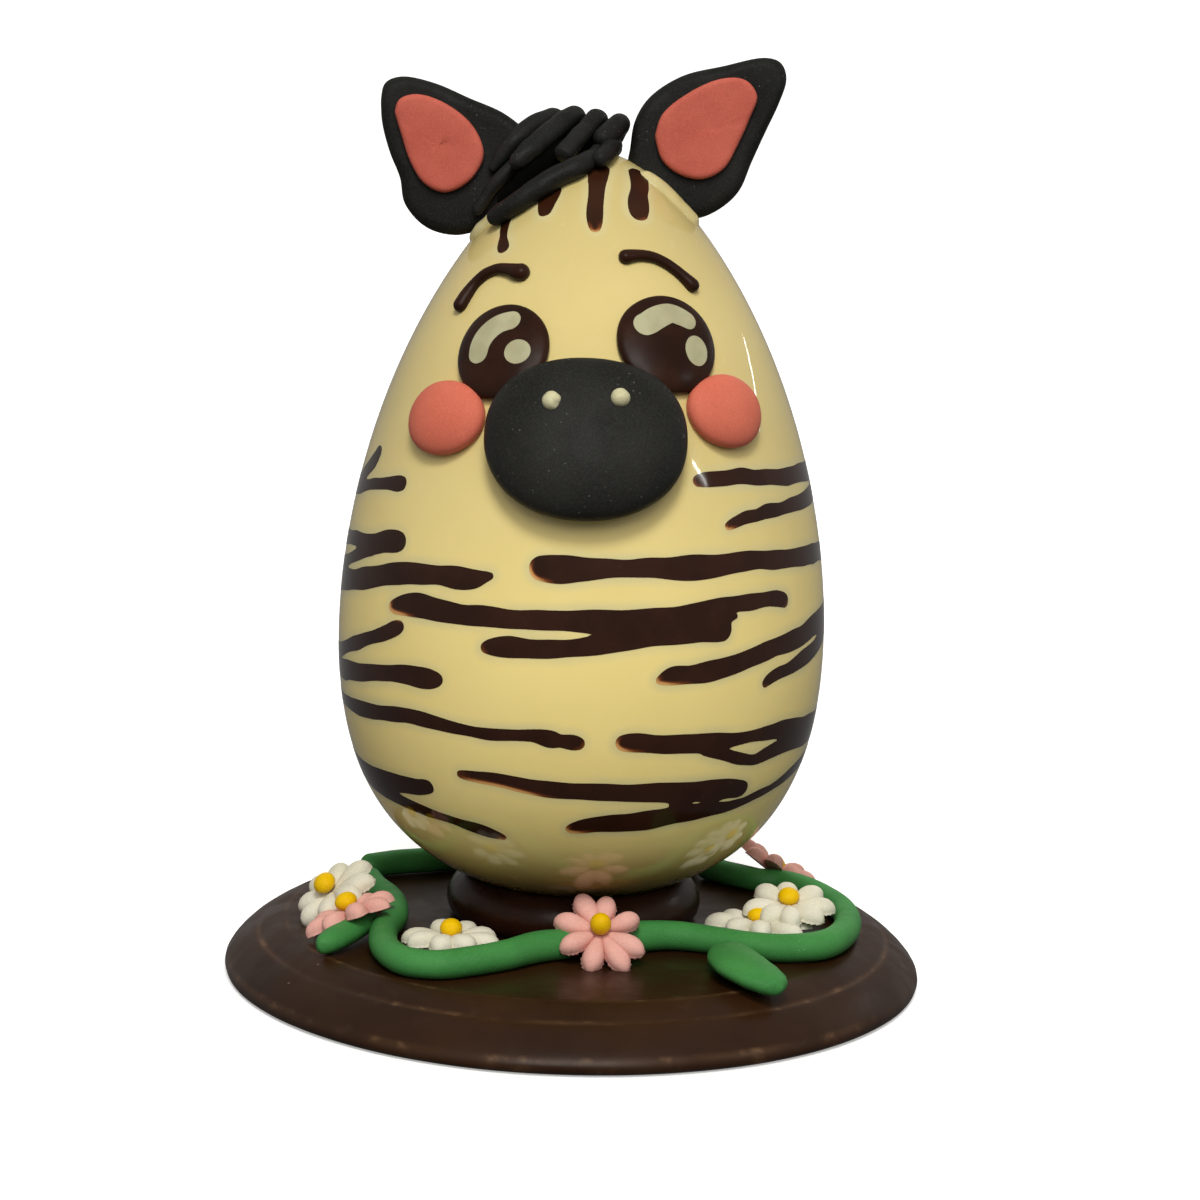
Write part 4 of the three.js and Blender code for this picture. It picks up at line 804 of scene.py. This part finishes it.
black_paste = paste("black_paste", (23, 23, 20), (33, 33, 30), dust=0.8, rough=(0.5, 0.62), shine=0.2,
                    grain=0.45)
points, faces = pad(MUZZLE_AT, MUZZLE_SIZE, **MUZZLE_SHAPE, wobble=0.01, seed=7, sides=180)
make_piece("muzzle_cushion", points, faces, black_paste, "muzzle", "black_paste")
bead_white = paste("bead_white", (190, 184, 146), (200, 195, 158), rough=(0.4, 0.55), shine=0.4)
for side, (azimuth, height, dent) in NOSTRILS.items():
    points, faces = bead(on_shell(azimuth, height, NOSTRIL_LIFT), NOSTRIL_RADIUS)
    for point in points:
        point -= (point - points.mean(axis=0)) * dent * max(0, noise.noise(Vector(point) / 2.2))
    make_piece(f"nostril_{side}_bead", points, faces, bead_white, f"nostril_{side}", "white_chocolate")

# ==== Cheeks ================================================================================
# Balls of coral sugar paste, squashed to plump discs against the shell and the muzzle. A touch
# of water holds them there.
CHEEKS = {"left": ((-39.1, 130.9), (24.2, 19), 5), "right": ((38.6, 134.6), (23.2, 18.8), 11)}
coral_paste = paste("coral_paste", (197, 99, 78), (204, 107, 85), rough=(0.55, 0.7), shine=0.3)
for side, (at, size, seed) in CHEEKS.items():
    points, faces = pad(at, size, thickness=6, waist=2.1, fullness=2.05, wobble=0.02, seed=seed)
    make_piece(f"cheek_{side}_disc", points, faces, coral_paste, f"cheek_{side}", "pink_paste")

# ==== Brows =================================================================================
# Thin lines of dark chocolate piped on the shell, thicker where the bag stopped at each end.
# They are strokes of [degrees from the face, height up the shell, width].
BROWS = {
    "left": [
        (-49.8, 157.3, 4), (-48.6, 161.5, 3.6), (-47, 164.4, 3), (-43.6, 166.9, 2.9), (-38.8, 168.2, 3),
        (-32.7, 168.1, 3.6), (-28.3, 167.6, 4.7), (-24.1, 167.8, 4.3),
    ],
    "right": [
        (10.8, 171.9, 4.4), (18.4, 172.7, 3.2), (24.2, 172.5, 2.9), (29, 171.5, 2.8),
        (33.4, 169.7, 2.8), (37.2, 167.5, 3.2), (41.2, 164.4, 4.3),
    ],
}
BROW_LIFT = 0.75
LINE_STEP, RING_STEP, DOME_RINGS, TIP_SHARE = 0.45, 0.8, 10, 0.02


def new_tree(name, output, **inputs):
    """An empty tree of shaping steps with named inputs, and the sockets where these come in."""
    tree = bpy.data.node_groups.new(name, "GeometryNodeTree")
    tree.is_modifier = True
    for key, kind in inputs.items():
        tree.interface.new_socket(key.replace("_", " "), in_out="INPUT",
                                  socket_type=f"NodeSocket{kind}")
    tree.interface.new_socket(output, in_out="OUTPUT", socket_type="NodeSocketGeometry")
    return tree, tree.nodes.new("NodeGroupInput").outputs


def end_tree(tree, geometry, finish):
    smooth = add_node(tree, "GeometryNodeSetShadeSmooth", Geometry=geometry)
    real = add_node(tree, "GeometryNodeRealizeInstances", Geometry=smooth.outputs[0])
    painted = add_node(tree, "GeometryNodeSetMaterial", Geometry=real.outputs[0], Material=finish)
    tree.links.new(painted.outputs[0], tree.nodes.new("NodeGroupOutput").inputs[0])


def baked(name, data, tree, values):
    """The mesh that a tree makes of some data, with its holder cleared away."""
    holder = new_object(name, data)
    changer = holder.modifiers.new("shape", "NODES")
    changer.node_group = tree
    for item in tree.interface.items_tree:
        if item.in_out == "INPUT" and item.name in values:
            changer[item.identifier] = values[item.name]
    bpy.context.view_layer.update()
    graph = bpy.context.evaluated_depsgraph_get()
    mesh = bpy.data.meshes.new_from_object(holder.evaluated_get(graph), depsgraph=graph)
    holder.modifiers.remove(changer)
    bpy.data.objects.remove(holder)
    return mesh


# Gives a line its body: a round section swept along it, as thick as the line's own radius, with
# the small unevenness of a thing rolled or piped by hand.
tree, given = new_tree("rolled_length", "Body", Line="Geometry", Sides="Int", Unevenness="Float",
                       Lump_size="Float", Seed="Float", Finish="Material")
rolled_length = tree
ring = add_node(tree, "GeometryNodeCurvePrimitiveCircle", Resolution=given["Sides"])
plug(tree, 1, ring.inputs["Radius"])
swept = add_node(tree, "GeometryNodeCurveToMesh", Curve=given["Line"], Fill_Caps=True)
plug(tree, ring.outputs[0], swept.inputs["Profile Curve"])
plug(tree, add_node(tree, "GeometryNodeInputRadius").outputs[0], swept.inputs["Scale"])
lumps = add_node(tree, "ShaderNodeTexNoise", {"noise_dimensions": "4D"}, W=given["Seed"], Detail=1.0)
plug(tree, add_node(tree, "GeometryNodeInputPosition").outputs[0], lumps.inputs["Vector"])
plug(tree, reckon(tree, "DIVIDE", 1.0, given["Lump size"]), lumps.inputs["Scale"])
swell = reckon(tree, "MULTIPLY", reckon(tree, "SUBTRACT", lumps.outputs[0], 0.5), given["Unevenness"])
outward = add_node(tree, "GeometryNodeInputNormal").outputs[0]
push = add_node(tree, "ShaderNodeVectorMath", {"operation": "SCALE"}, Vector=outward, Scale=swell)
moved = add_node(tree, "GeometryNodeSetPosition", Geometry=swept.outputs[0], Offset=push.outputs[0])
end_tree(tree, moved.outputs[0], given["Finish"])


def rolled(name, line, finish, node, sides=24, unevenness=0.0, lump=6.0, seed=0.0, blunt=1.0):
    """A round length through [x, y, z, radius] points in millimetres, with domed ends."""
    line = through(line, LINE_STEP)
    run = run_of(line[:, :3])
    dome = blunt * min(line[0, 3], line[-1, 3])
    tip = np.linspace(0, dome, DOME_RINGS) ** 2 / dome
    body = np.linspace(dome, run[-1] - dome, max(2, int((run[-1] - 2 * dome) / RING_STEP)))
    steps = np.unique(np.concatenate([tip, body, run[-1] - tip]))
    line = at_runs(line, run, steps)
    near = np.minimum(1, np.minimum(steps, run[-1] - steps) / dome)
    roundness = np.maximum(TIP_SHARE, np.sqrt(np.maximum(0, near * (2 - near))))
    curve = bpy.data.curves.new(name, "CURVE")
    curve.dimensions = "3D"
    spline = curve.splines.new("POLY")
    spline.points.add(len(line) - 1)
    for spot, place, share in zip(spline.points, line * MM, roundness):
        spot.co = (*place[:3], 1)
        spot.radius = place[3] * share
    mesh = baked(name, curve, rolled_length, {
        "Sides": sides, "Unevenness": unevenness * MM, "Lump size": lump * MM, "Seed": seed,
        "Finish": finish.material})
    return stand_for(new_object(name, mesh), node)


for side, path in BROWS.items():
    line = [(*on_shell(*spot, BROW_LIFT), width / 2) for *spot, width in path]
    rolled(f"brow_{side}_line", line, glossy, f"brow_{side}", unevenness=0.25,
           seed=2.0)

# ==== Ears ==================================================================================
# Two leaves of black sugar paste cut by hand with rounded edges, and a coral one pressed on the
# front of each. They stand on the crown in a bead of melted white chocolate.
EARS = {
    "left": {
        "outline": [(-57, 233), (-56.5, 227), (-54.3, 219.3), (-51.5, 212.8), (-50.2, 206.2),
                    (-44.5, 200.2), (-37, 198.3), (-31, 199.6), (-20, 206), (-14.5, 215),
                    (-17.5, 224.6), (-24, 230.2), (-33.8, 234.2), (-43, 237.8), (-51.8, 239.2),
                    (-56, 237.4)],
        "centre": (-38, 219),
        "inner": [(-53, 229.7), (-51.2, 224.2), (-48.7, 217.2), (-45, 211.6), (-39.5, 209.3),
                  (-33, 212.3), (-29.3, 219), (-31.8, 226), (-38.5, 231.7), (-47, 234.5), (-51.8, 233)],
        "inner_centre": (-41, 221.5),
        "glue": [(-68, 183.8, 2.2), (-75.5, 181.6, 3.1), (-82.5, 178.5, 2.8), (-88, 176, 1.8)],
    },
    "right": {
        "outline": [(9, 222), (8.6, 217.5), (14, 210.5), (22, 205.2), (27.5, 204.6), (33.4, 207.3),
                    (38.2, 212), (41.2, 219.5), (44.6, 227.6), (47.8, 235), (49.6, 241.6), (48, 245.6),
                    (44, 246.8), (32.8, 244.3), (22, 241.4), (13.6, 235.6), (10, 229.3)],
        "centre": (29, 225),
        "inner": [(15.3, 225.4), (17.4, 219.4), (22, 215.8), (28, 214.7), (33.6, 217.4), (37.2, 223.8),
                  (40, 230.6), (41.8, 236.6), (38.6, 240.6), (32.5, 240.8), (24, 237), (17, 231)],
        "inner_centre": (28.5, 227),
        "glue": [(57, 195.4, 2.6), (64, 192.8, 3.8), (70, 189.2, 4.2), (74.8, 185, 3.9),
                 (78.5, 180.8, 2.6)],
    },
}
EAR_BACK, EAR_FRONT = 3.7, -3.7
INNER_BACK, INNER_FRONT = -3.0, -6.1
GLUE_LIFT = 1.5


def slab(outline, centre, layers, count):
    """Corners and faces of an upright slab: its outline, drawn in by each layer's millimetres
    and set at each layer's depth."""
    loop = through([*outline, outline[0]], 0.3)
    run = run_of(loop)
    loop = at_runs(loop, run, np.linspace(0, run[-1], count, endpoint=False))
    for _ in range(3):
        loop = (np.roll(loop, 1, 0) + 2 * loop + np.roll(loop, -1, 0)) / 4
    arms = loop - centre
    lengths = np.linalg.norm(arms, axis=1, keepdims=True)
    rings = []
    for inset, depth in layers:
        drawn = [centre]
        if inset is not None:
            drawn = centre + arms * np.maximum(0.02, lengths - inset) / lengths
        rings.append([(x, depth, z) for x, z in drawn])
    return skinned(rings)


def rounded_layers(back, front, edge, dish):
    """Layers from the back face to the front one, with edges of this radius."""
    middle, half = (back + front) / 2, (back - front) / 2
    layers = [(None, back), (14, back), (8, back)]
    for swing in np.radians(np.linspace(90, -90, 19)):
        layers.append((edge * (1 - math.cos(swing) ** 0.8),
                       middle + half * bulged(math.sin(swing), 0.8)))
    return layers + [(6, front + dish * 0.4), (10, front + dish * 0.8), (None, front + dish)]


ear_coral = paste("ear_coral", (172, 82, 68), (186, 93, 77), dust=0.25, dust_colour=(228, 190, 170),
                  rough=(0.6, 0.75), shine=0.25)
# The ears' black paste is painted darker than the muzzle's, as painted shade.
ear_paste = paste("ear_paste", (11, 11, 9), (27, 27, 25), dust=0.6, rough=(0.52, 0.64), shine=0.17,
                  grain=0.45)
for side, ear in EARS.items():
    layers = rounded_layers(EAR_BACK, EAR_FRONT, 3.4, 0.35)
    points, faces = slab(ear["outline"], ear["centre"], layers, 200)
    for point in points:
        point[1] += 0.35 * noise.noise(Vector(point) / 13)
    make_piece(f"ear_{side}_leaf", points, faces, ear_paste, f"ear_{side}", "black_paste")
    layers = rounded_layers(INNER_BACK, INNER_FRONT, 1.9, 0.2)
    points, faces = slab(ear["inner"], ear["inner_centre"], layers, 160)
    for point in points:
        point[1] += 0.3 * noise.noise(Vector(point) / 9) + 0.18 * noise.noise(Vector(point) / 3.5)
    make_piece(f"inner_ear_{side}_leaf", points, faces, ear_coral, f"inner_ear_{side}", "pink_paste")
    smear = [(*on_shell(*spot, GLUE_LIFT - thick), thick) for *spot, thick in ear["glue"]]
    rolled(f"ear_glue_{side}_bead", smear, cream, f"ear_glue_{side}",
           unevenness=0.9, lump=4.0, seed=4.0)

# ==== Mane ==================================================================================
# Black sugar paste rolled into tapered strings and laid over the crown in a fringe that falls
# to one side. Each is stuck at the back, and its tip lies on the forehead or on an ear. A thick
# one lies in the dark under the others and fills the fringe; its paste is the same black paste
# painted near black as painted shade. Points are [x, y, z, radius].
MANE = {
    "mane_long": [
        (-5, 15, 218.6, 2.4), (-4.8, 10, 226, 2.7), (-5.2, 5, 229.9, 2.8), (-6.9, 0.5, 229.9, 2.9),
        (-10.4, -4.5, 227, 2.95), (-14.6, -8.7, 223, 2.9), (-18, -11, 219.9, 2.7),
        (-21.6, -12.7, 216.3, 2.1),
    ],
    "mane_blunt": [
        (-0.8, 15, 217.6, 2.3), (0, 10, 225, 2.5), (0.6, 5, 229.3, 2.6), (-0.4, 0, 229.7, 2.6),
        (-2.8, -5.2, 226.6, 2.6), (-5.8, -10.2, 223, 2.6), (-8.9, -15, 218.9, 2.5),
    ],
    "mane_short": [
        (3, 12.4, 217, 2.2), (4.2, 8.4, 223.8, 2.5), (5.9, 3.8, 228, 2.8), (6, -0.6, 228.4, 2.9),
        (3.5, -5.2, 226, 2.9), (0.5, -9.4, 223.2, 2.5),
    ],
    "mane_forehead": [
        (1.2, 0, 221.6, 1.8), (0.8, -6.5, 221.2, 2), (-0.4, -12, 219.5, 2.3),
        (-2.6, -15.4, 217.8, 2.65), (-5.2, -17.7, 216.2, 2.8), (-9.6, -18.8, 213.9, 2.85),
        (-14, -19.8, 211, 2.8), (-18.7, -19.9, 207.7, 2.7), (-23.2, -18.6, 204.6, 2.5),
        (-27, -16.8, 202, 2.1),
    ],
    "mane_crown": [
        (4.8, 6, 221.6, 2), (4.9, 1.6, 222.7, 2.2), (4.4, -4.2, 222.9, 2.3), (2.8, -12.6, 220.5, 2.35),
        (0.3, -17.2, 218, 2.1),
    ],
    "mane_ear": [
        (-9.4, 14.6, 218, 2.2), (-9.8, 9.6, 226.4, 2.4), (-10.9, 5, 230, 2.5), (-13.8, 0.5, 229, 2.7),
        (-17.7, -3.4, 226.5, 2.7), (-21.2, -6, 223.2, 2.4), (-24.4, -6.2, 219.4, 2),
        (-27.4, -5.4, 215, 1.2),
    ],
    "mane_curl": [
        (-6, 5, 226, 1.8), (-8.2, -0.6, 225.8, 2), (-14.6, -4, 222.2, 2), (-19.2, -6.4, 218.6, 2),
        (-23, -7.2, 215.2, 1.9), (-26.6, -6.8, 211.2, 1.8), (-29.4, -6.4, 206.8, 1.65),
        (-31.2, -6.4, 203.9, 1.3),
    ],
    "mane_under": [
        (-1, 1, 224, 2.6), (-3.6, -4.4, 222.6, 3), (-9.6, -6.6, 220.2, 3.3), (-15.4, -9.4, 216, 3),
        (-20.2, -12.8, 211.2, 2.1), (-24.8, -15.4, 206.8, 1.1),
    ],
}
mane_paste = paste("mane_paste", (18, 18, 16), (28, 28, 26), dust=0.5, rough=(0.48, 0.64), shine=0.22,
                   grain=0.4)
# The under string's paste is the mane's black paste painted near black: painted shade.
core_paste = paste("core_paste", (3, 3, 3), (6, 6, 5), rough=(0.8, 0.9), shine=0.03)
for number, (name, line) in enumerate(MANE.items()):
    rolled(f"{name}_string", line, core_paste if name == "mane_under" else mane_paste, name,
           unevenness=0.9, lump=5.0, seed=10.0 + number,
           blunt=0.6 if name == "mane_blunt" else 1.0)

# ==== Vine ==================================================================================
# Green sugar paste rolled into a long rope and laid round the foot in loose bends. It lies on
# the plateau, stuck down with a little water. Points are [x, y, radius].
VINES = {
    "vine_front_left": [
        (-58.5, 18.5, 3.6), (-55.5, 9, 3.5), (-49.6, -5, 3.5), (-47.6, -20.4, 3.6), (-49.2, -36, 3.7),
        (-47.4, -51.4, 3.6), (-41.6, -62, 3.6), (-33.6, -64.4, 3.6), (-26.2, -61.3, 3.7),
        (-17.1, -55.2, 3.8), (-8.7, -47.6, 4), (0.6, -42.4, 3.9),
    ],
    "vine_right": [
        (8, -38.4, 4.1), (17.6, -35, 4.1), (26.8, -32.4, 3.8), (36.4, -34.6, 3.6), (46.1, -38.8, 3.6),
        (55.2, -40.8, 3.7), (65.6, -37, 3.8), (72.7, -22.8, 3.7), (74.6, -6.4, 3.6), (71.9, 7.8, 3.5),
        (66.6, 20.6, 3.4), (60, 28.4, 3.3), (52.2, 30, 3.3), (45, 35.4, 3.4), (37, 44, 3.5),
    ],
    "vine_back": [
        (36.2, 45.6, 3.6), (29, 53, 3.6), (18, 57.5, 3.6), (5, 56, 3.6), (-6, 50.4, 3.6),
        (-16, 48.6, 3.6), (-23.4, 48.2, 3.6),
    ],
    "vine_back_left": [
        (-24.6, 48, 3.6), (-33, 45, 3.6), (-41, 40.8, 3.6), (-52, 36, 3.6), (-61, 29, 3.6),
    ],
}
VINE_UNDERSIDE = 14.1
green_paste = paste("green_paste", (54, 119, 58), (64, 131, 66), dust=0.4, dust_colour=(170, 205, 160),
                    rough=(0.5, 0.68))
for number, (name, path) in enumerate(VINES.items()):
    line = [(x, y, VINE_UNDERSIDE + radius, radius) for x, y, radius in path]
    rolled(f"{name}_rope", line, green_paste, name, sides=32, unevenness=0.5, lump=14.0,
           seed=20.0 + number, blunt=0.8)

# ==== Leaves ================================================================================
# Almonds of the same green paste, plump and plain, with a point at each end. They lean on the
# vine and are stuck to it with a little water.
LEAVES = {
    "leaf_right": {
        "spine": [(40.4, -40.5, 17), (42.9, -60.7, 18.6), (52.2, -72.3, 16.4)],
        "width": 14.4, "thick": 6.6,
    },
    "leaf_left": {
        "spine": [(-53.3, -24.5, 18.4), (-58.8, -39.6, 18.1), (-64.8, -49.8, 16.9)],
        "width": 8, "thick": 6.4,
    },
}
# How wide a leaf is, as a share of its full width, at each share of its length.
LEAF_FULLNESS = [
    (0, 0), (0.02, 0.35), (0.06, 0.6), (0.15, 0.8), (0.35, 0.95), (0.58, 1), (0.78, 0.93), (0.9, 0.72),
    (0.96, 0.46), (1, 0),
]
LEAF_SIDES = 40
LEAF_UNDERSIDE = 14.12
for name, leaf in LEAVES.items():
    spine = through(leaf["spine"], 0.5)
    full = np.interp(np.linspace(0, 1, len(spine)), *np.array(LEAF_FULLNESS).T)
    rings = []
    for i, spot in enumerate(spine):
        ahead = spine[min(i + 1, len(spine) - 1)] - spine[max(i - 1, 0)]
        side = np.cross(ahead, (0, 0, 1))
        side *= max(full[i], 0.01) * leaf["width"] / 2 / np.linalg.norm(side)
        top = np.cross(side, ahead)
        top *= math.sqrt(max(full[i], 0.0004)) * leaf["thick"] / 2 / np.linalg.norm(top)
        turns = 2 * np.pi * np.arange(LEAF_SIDES)[:, None] / LEAF_SIDES
        ring = spot + side * np.cos(turns) - top * np.sin(turns)
        rings.append(np.maximum(ring, (-np.inf, -np.inf, LEAF_UNDERSIDE)))
    make_piece(f"{name}_almond", *skinned(rings, capped=True), green_paste, name, "green_paste")

# ==== Daisies ===============================================================================
# Daisies pressed from sugar paste with a plunger cutter, so each petal is plump on top and has
# a thin torn edge below. A button of yellow paste sits in the middle. They are stuck down and
# to each other with a little water.
PETAL_REACH = 12.8
# Petals are [heading, reach] and a raised one is turned up by an angle of its own. A button has
# a radius, a squash and a height.
DAISIES = {
    "daisy_left_white": {
        "at": (-65.6, -16.6, 23.5), "faces": (-0.576, -0.327, 0.747), "paste": "white", "droop": 0.1,
        "petals": [(22, 12.8), (-19, 13.6), (-50, 12.6), (-99, 11.2), (-152, 12), (160, 13),
                   (122, 12.6), (75, 11.2)],
        "button": (3.1, 0.8, 2.3),
    },
    "daisy_left_pink": {
        "at": (-59, -30.6, 21.9), "faces": (-0.38, 0.09, 0.92), "paste": "rose", "droop": 0.03,
        "petals": [(-159, 13.2), (-116, 12.6), (-70, 12), (-28, 12.8), (18, 12.4), (62, 12),
                   (108, 12.4), (152, 12.4)],
        "button": (3, 0.8, 2.2),
    },
    "daisy_front_white": {
        "at": (-31.3, -43.2, 19.9), "faces": (0, 0.02, 1), "paste": "white", "droop": 0.06,
        "petals": [(174, 13.2), (110, 12.2), (66, 12.4), (24, 12.8), (-16, 13.4), (-62, 12), (-104, 12),
                   (-146, 12.8)],
        "button": (2.9, 0.86, 1.3),
    },
    "daisy_front_pink": {
        "at": (7.2, -45.8, 22.8), "faces": (0, -0.64, 0.77), "paste": "rose", "droop": 0.04,
        "petals": [(118, 12.9), (80, 10.8), (27, 11.4), (-30, 13), (-58, 13.4), (-102, 12.4),
                   (-149, 11.9), (163, 12.7)],
        "button": (2.75, 1.12, 2.4),
    },
    "daisy_right_white": {
        "at": (57.8, -17.4, 24), "faces": (0, -0.2, 0.98), "paste": "white", "droop": 0.04,
        "petals": [(133, 11.7), (88, 12.4), (42, 12.8), (-4, 12.8), (-50, 12.8), (-91, 12.6),
                   (-127, 11.8), (-166, 12.9)],
        "button": (2.9, 0.8, 1.5),
    },
    "daisy_right_low": {
        "at": (49.4, -21.4, 19.6), "faces": (0, 0.1, 1), "paste": "white", "droop": 0.05,
        "petals": [(176, 14.2), (135, 12.4), (90, 12.4), (45, 12.4), (-4, 14.6), (-41, 14.8),
                   (-88, 12.2), (-132, 12.4)],
        "button": (2.8, 0.8, 1.4),
    },
    "daisy_back_pink": {
        "at": (58.2, 37.6, 19), "faces": (0.45, 0.12, 0.88), "paste": "rose", "droop": -0.22,
        "petals": [(-104, 12.2), (-55, 11.6), (-8, 12.8), (38, 12.2), (84, 12.4), (128, 12.4),
                   (172, 13), (-150, 11.4)],
        "raised": {0: 0.1}, "button": (2.8, 0.8, 1.3),
    },
}
PETAL_WIDTHS = [
    (1, 0.8), (2.5, 1.15), (4, 1.7), (5.5, 2.25), (7, 2.65), (8.4, 2.8), (9.8, 2.66), (11, 2.22),
    (11.9, 1.6), (12.5, 0.95), (12.8, 0.25),
]
PETAL_HEIGHTS = [
    (1, 1), (3, 1.7), (5, 2.5), (7, 3.1), (9, 3.3), (10.6, 3), (11.8, 2.3), (12.5, 1.4), (12.8, 0.5),
]
PETAL_UNDER, HEM_UNDER, BELLY_UNDER = -1.45, -1.62, -1.75
WHITE_WIDTH = 1.12
FIRST_SEED, PETAL_UNEVENNESS = 31, 0.06
pastes = {
    "white": paste("white_paste", (206, 201, 178), (220, 215, 195), rough=(0.65, 0.8), shine=0.25),
    "rose": paste("rose_paste", (214, 156, 144), (223, 167, 155), rough=(0.65, 0.8), shine=0.25),
    "yellow": paste("yellow_paste", (223, 173, 0), (231, 184, 2), rough=(0.45, 0.6), shine=0.2),
}


def petal_form(stations=30, across=20):
    """One petal along X: a plump almond back, a flat belly and a thin ragged hem round it."""
    rings = []
    for reach in PETAL_REACH - (PETAL_REACH - 1) * (1 - np.linspace(0, 1, stations)) ** 1.5:
        half = np.interp(reach, *np.array(PETAL_WIDTHS).T)
        crown = np.interp(reach, *np.array(PETAL_HEIGHTS).T)
        ragged = 0.22 + 0.2 * math.sin(reach * 5.1) + 0.13 * math.sin(reach * 11.7)
        hem = half + ragged * min(1, reach / 6)
        ring = [(hem, HEM_UNDER), (half / 2, BELLY_UNDER), (-half / 2, BELLY_UNDER), (-hem, HEM_UNDER)]
        for swing in np.linspace(math.pi, 0, across):
            ring.append((half * bulged(math.cos(swing), 0.85),
                         PETAL_UNDER + crown * max(0, math.sin(swing)) ** 0.8))
        rings.append([(reach, *place) for place in ring])
    return skinned(rings, capped=True)


# Sets one petal on each point of the flower, turned by the point's own heading and stretched to
# its own reach, each a little off in droop and fullness.
tree, given = new_tree("ring_of_petals", "Flower", Points="Geometry", Petal="Object", Droop="Float",
                       Width="Float", Unevenness="Float", Seed="Int", Finish="Material")
ring_of_petals = tree


def own(name):
    """A value that each point of the flower carries."""
    node = add_node(tree, "GeometryNodeInputNamedAttribute", {"data_type": "FLOAT"}, Name=name)
    return node.outputs[0]


def around(middle, shift):
    """The middle value, off by chance for each petal."""
    node = add_node(tree, "FunctionNodeRandomValue", {"data_type": "FLOAT"})
    low, high = [s for s in node.inputs if s.enabled and s.name in ("Min", "Max")]
    plug(tree, reckon(tree, "MULTIPLY", given["Unevenness"], -1.0), low)
    plug(tree, given["Unevenness"], high)
    plug(tree, reckon(tree, "ADD", given["Seed"], shift), node.inputs["Seed"])
    return reckon(tree, "ADD", middle, [s for s in node.outputs if s.enabled][0])


droop = reckon(tree, "SUBTRACT", around(given["Droop"], 7.0), own("raised"))
turns = add_node(tree, "ShaderNodeCombineXYZ", X=around(0.0, 1.0), Y=droop, Z=own("heading"))
sizes = add_node(tree, "ShaderNodeCombineXYZ", X=own("stretch"), Y=around(given["Width"], 5.0),
                 Z=around(1.0, 9.0))
shape = add_node(tree, "GeometryNodeObjectInfo", Object=given["Petal"])
set_out = add_node(tree, "GeometryNodeInstanceOnPoints", Points=given["Points"],
                   Instance=shape.outputs["Geometry"], Rotation=turns.outputs[0],
                   Scale=sizes.outputs[0])
end_tree(tree, set_out.outputs[0], given["Finish"])

petal = new_object("petal", smooth_mesh("petal", *petal_form()))
for number, (name, daisy) in enumerate(DAISIES.items()):
    place = (Matrix.Translation(Vector(daisy["at"]) * MM)
             @ Vector((0, 0, 1)).rotation_difference(Vector(daisy["faces"])).to_matrix().to_4x4())
    headings, reaches = np.array(daisy["petals"], float).T
    lifts = [daisy.get("raised", {}).get(petal_number, 0.0) for petal_number in range(len(headings))]
    middles = bpy.data.meshes.new("petal_places")
    middles.from_pydata([(0, 0, 0)] * len(headings), [], [])
    mark(middles, heading=np.radians(headings), stretch=reaches / PETAL_REACH, raised=lifts)
    mesh = baked("petal_places", middles, ring_of_petals, {
        "Petal": petal, "Droop": daisy["droop"], "Seed": FIRST_SEED + number,
        "Unevenness": PETAL_UNEVENNESS,
        "Width": WHITE_WIDTH if daisy["paste"] == "white" else 1.0,
        "Finish": pastes[daisy["paste"]].material})
    mesh.transform(place)
    stand_for(new_object(f"{name}_bloom", mesh), f"{name}_petals")
    radius, squash, lift = daisy["button"]
    points, faces = bead((0, 0, lift), radius, squash)
    points = [place @ (Vector(point) * MM) / MM for point in points]
    make_piece(f"{name}_middle", points, faces, pastes["yellow"], f"{name}_button", "yellow_paste")
bpy.data.objects.remove(petal)
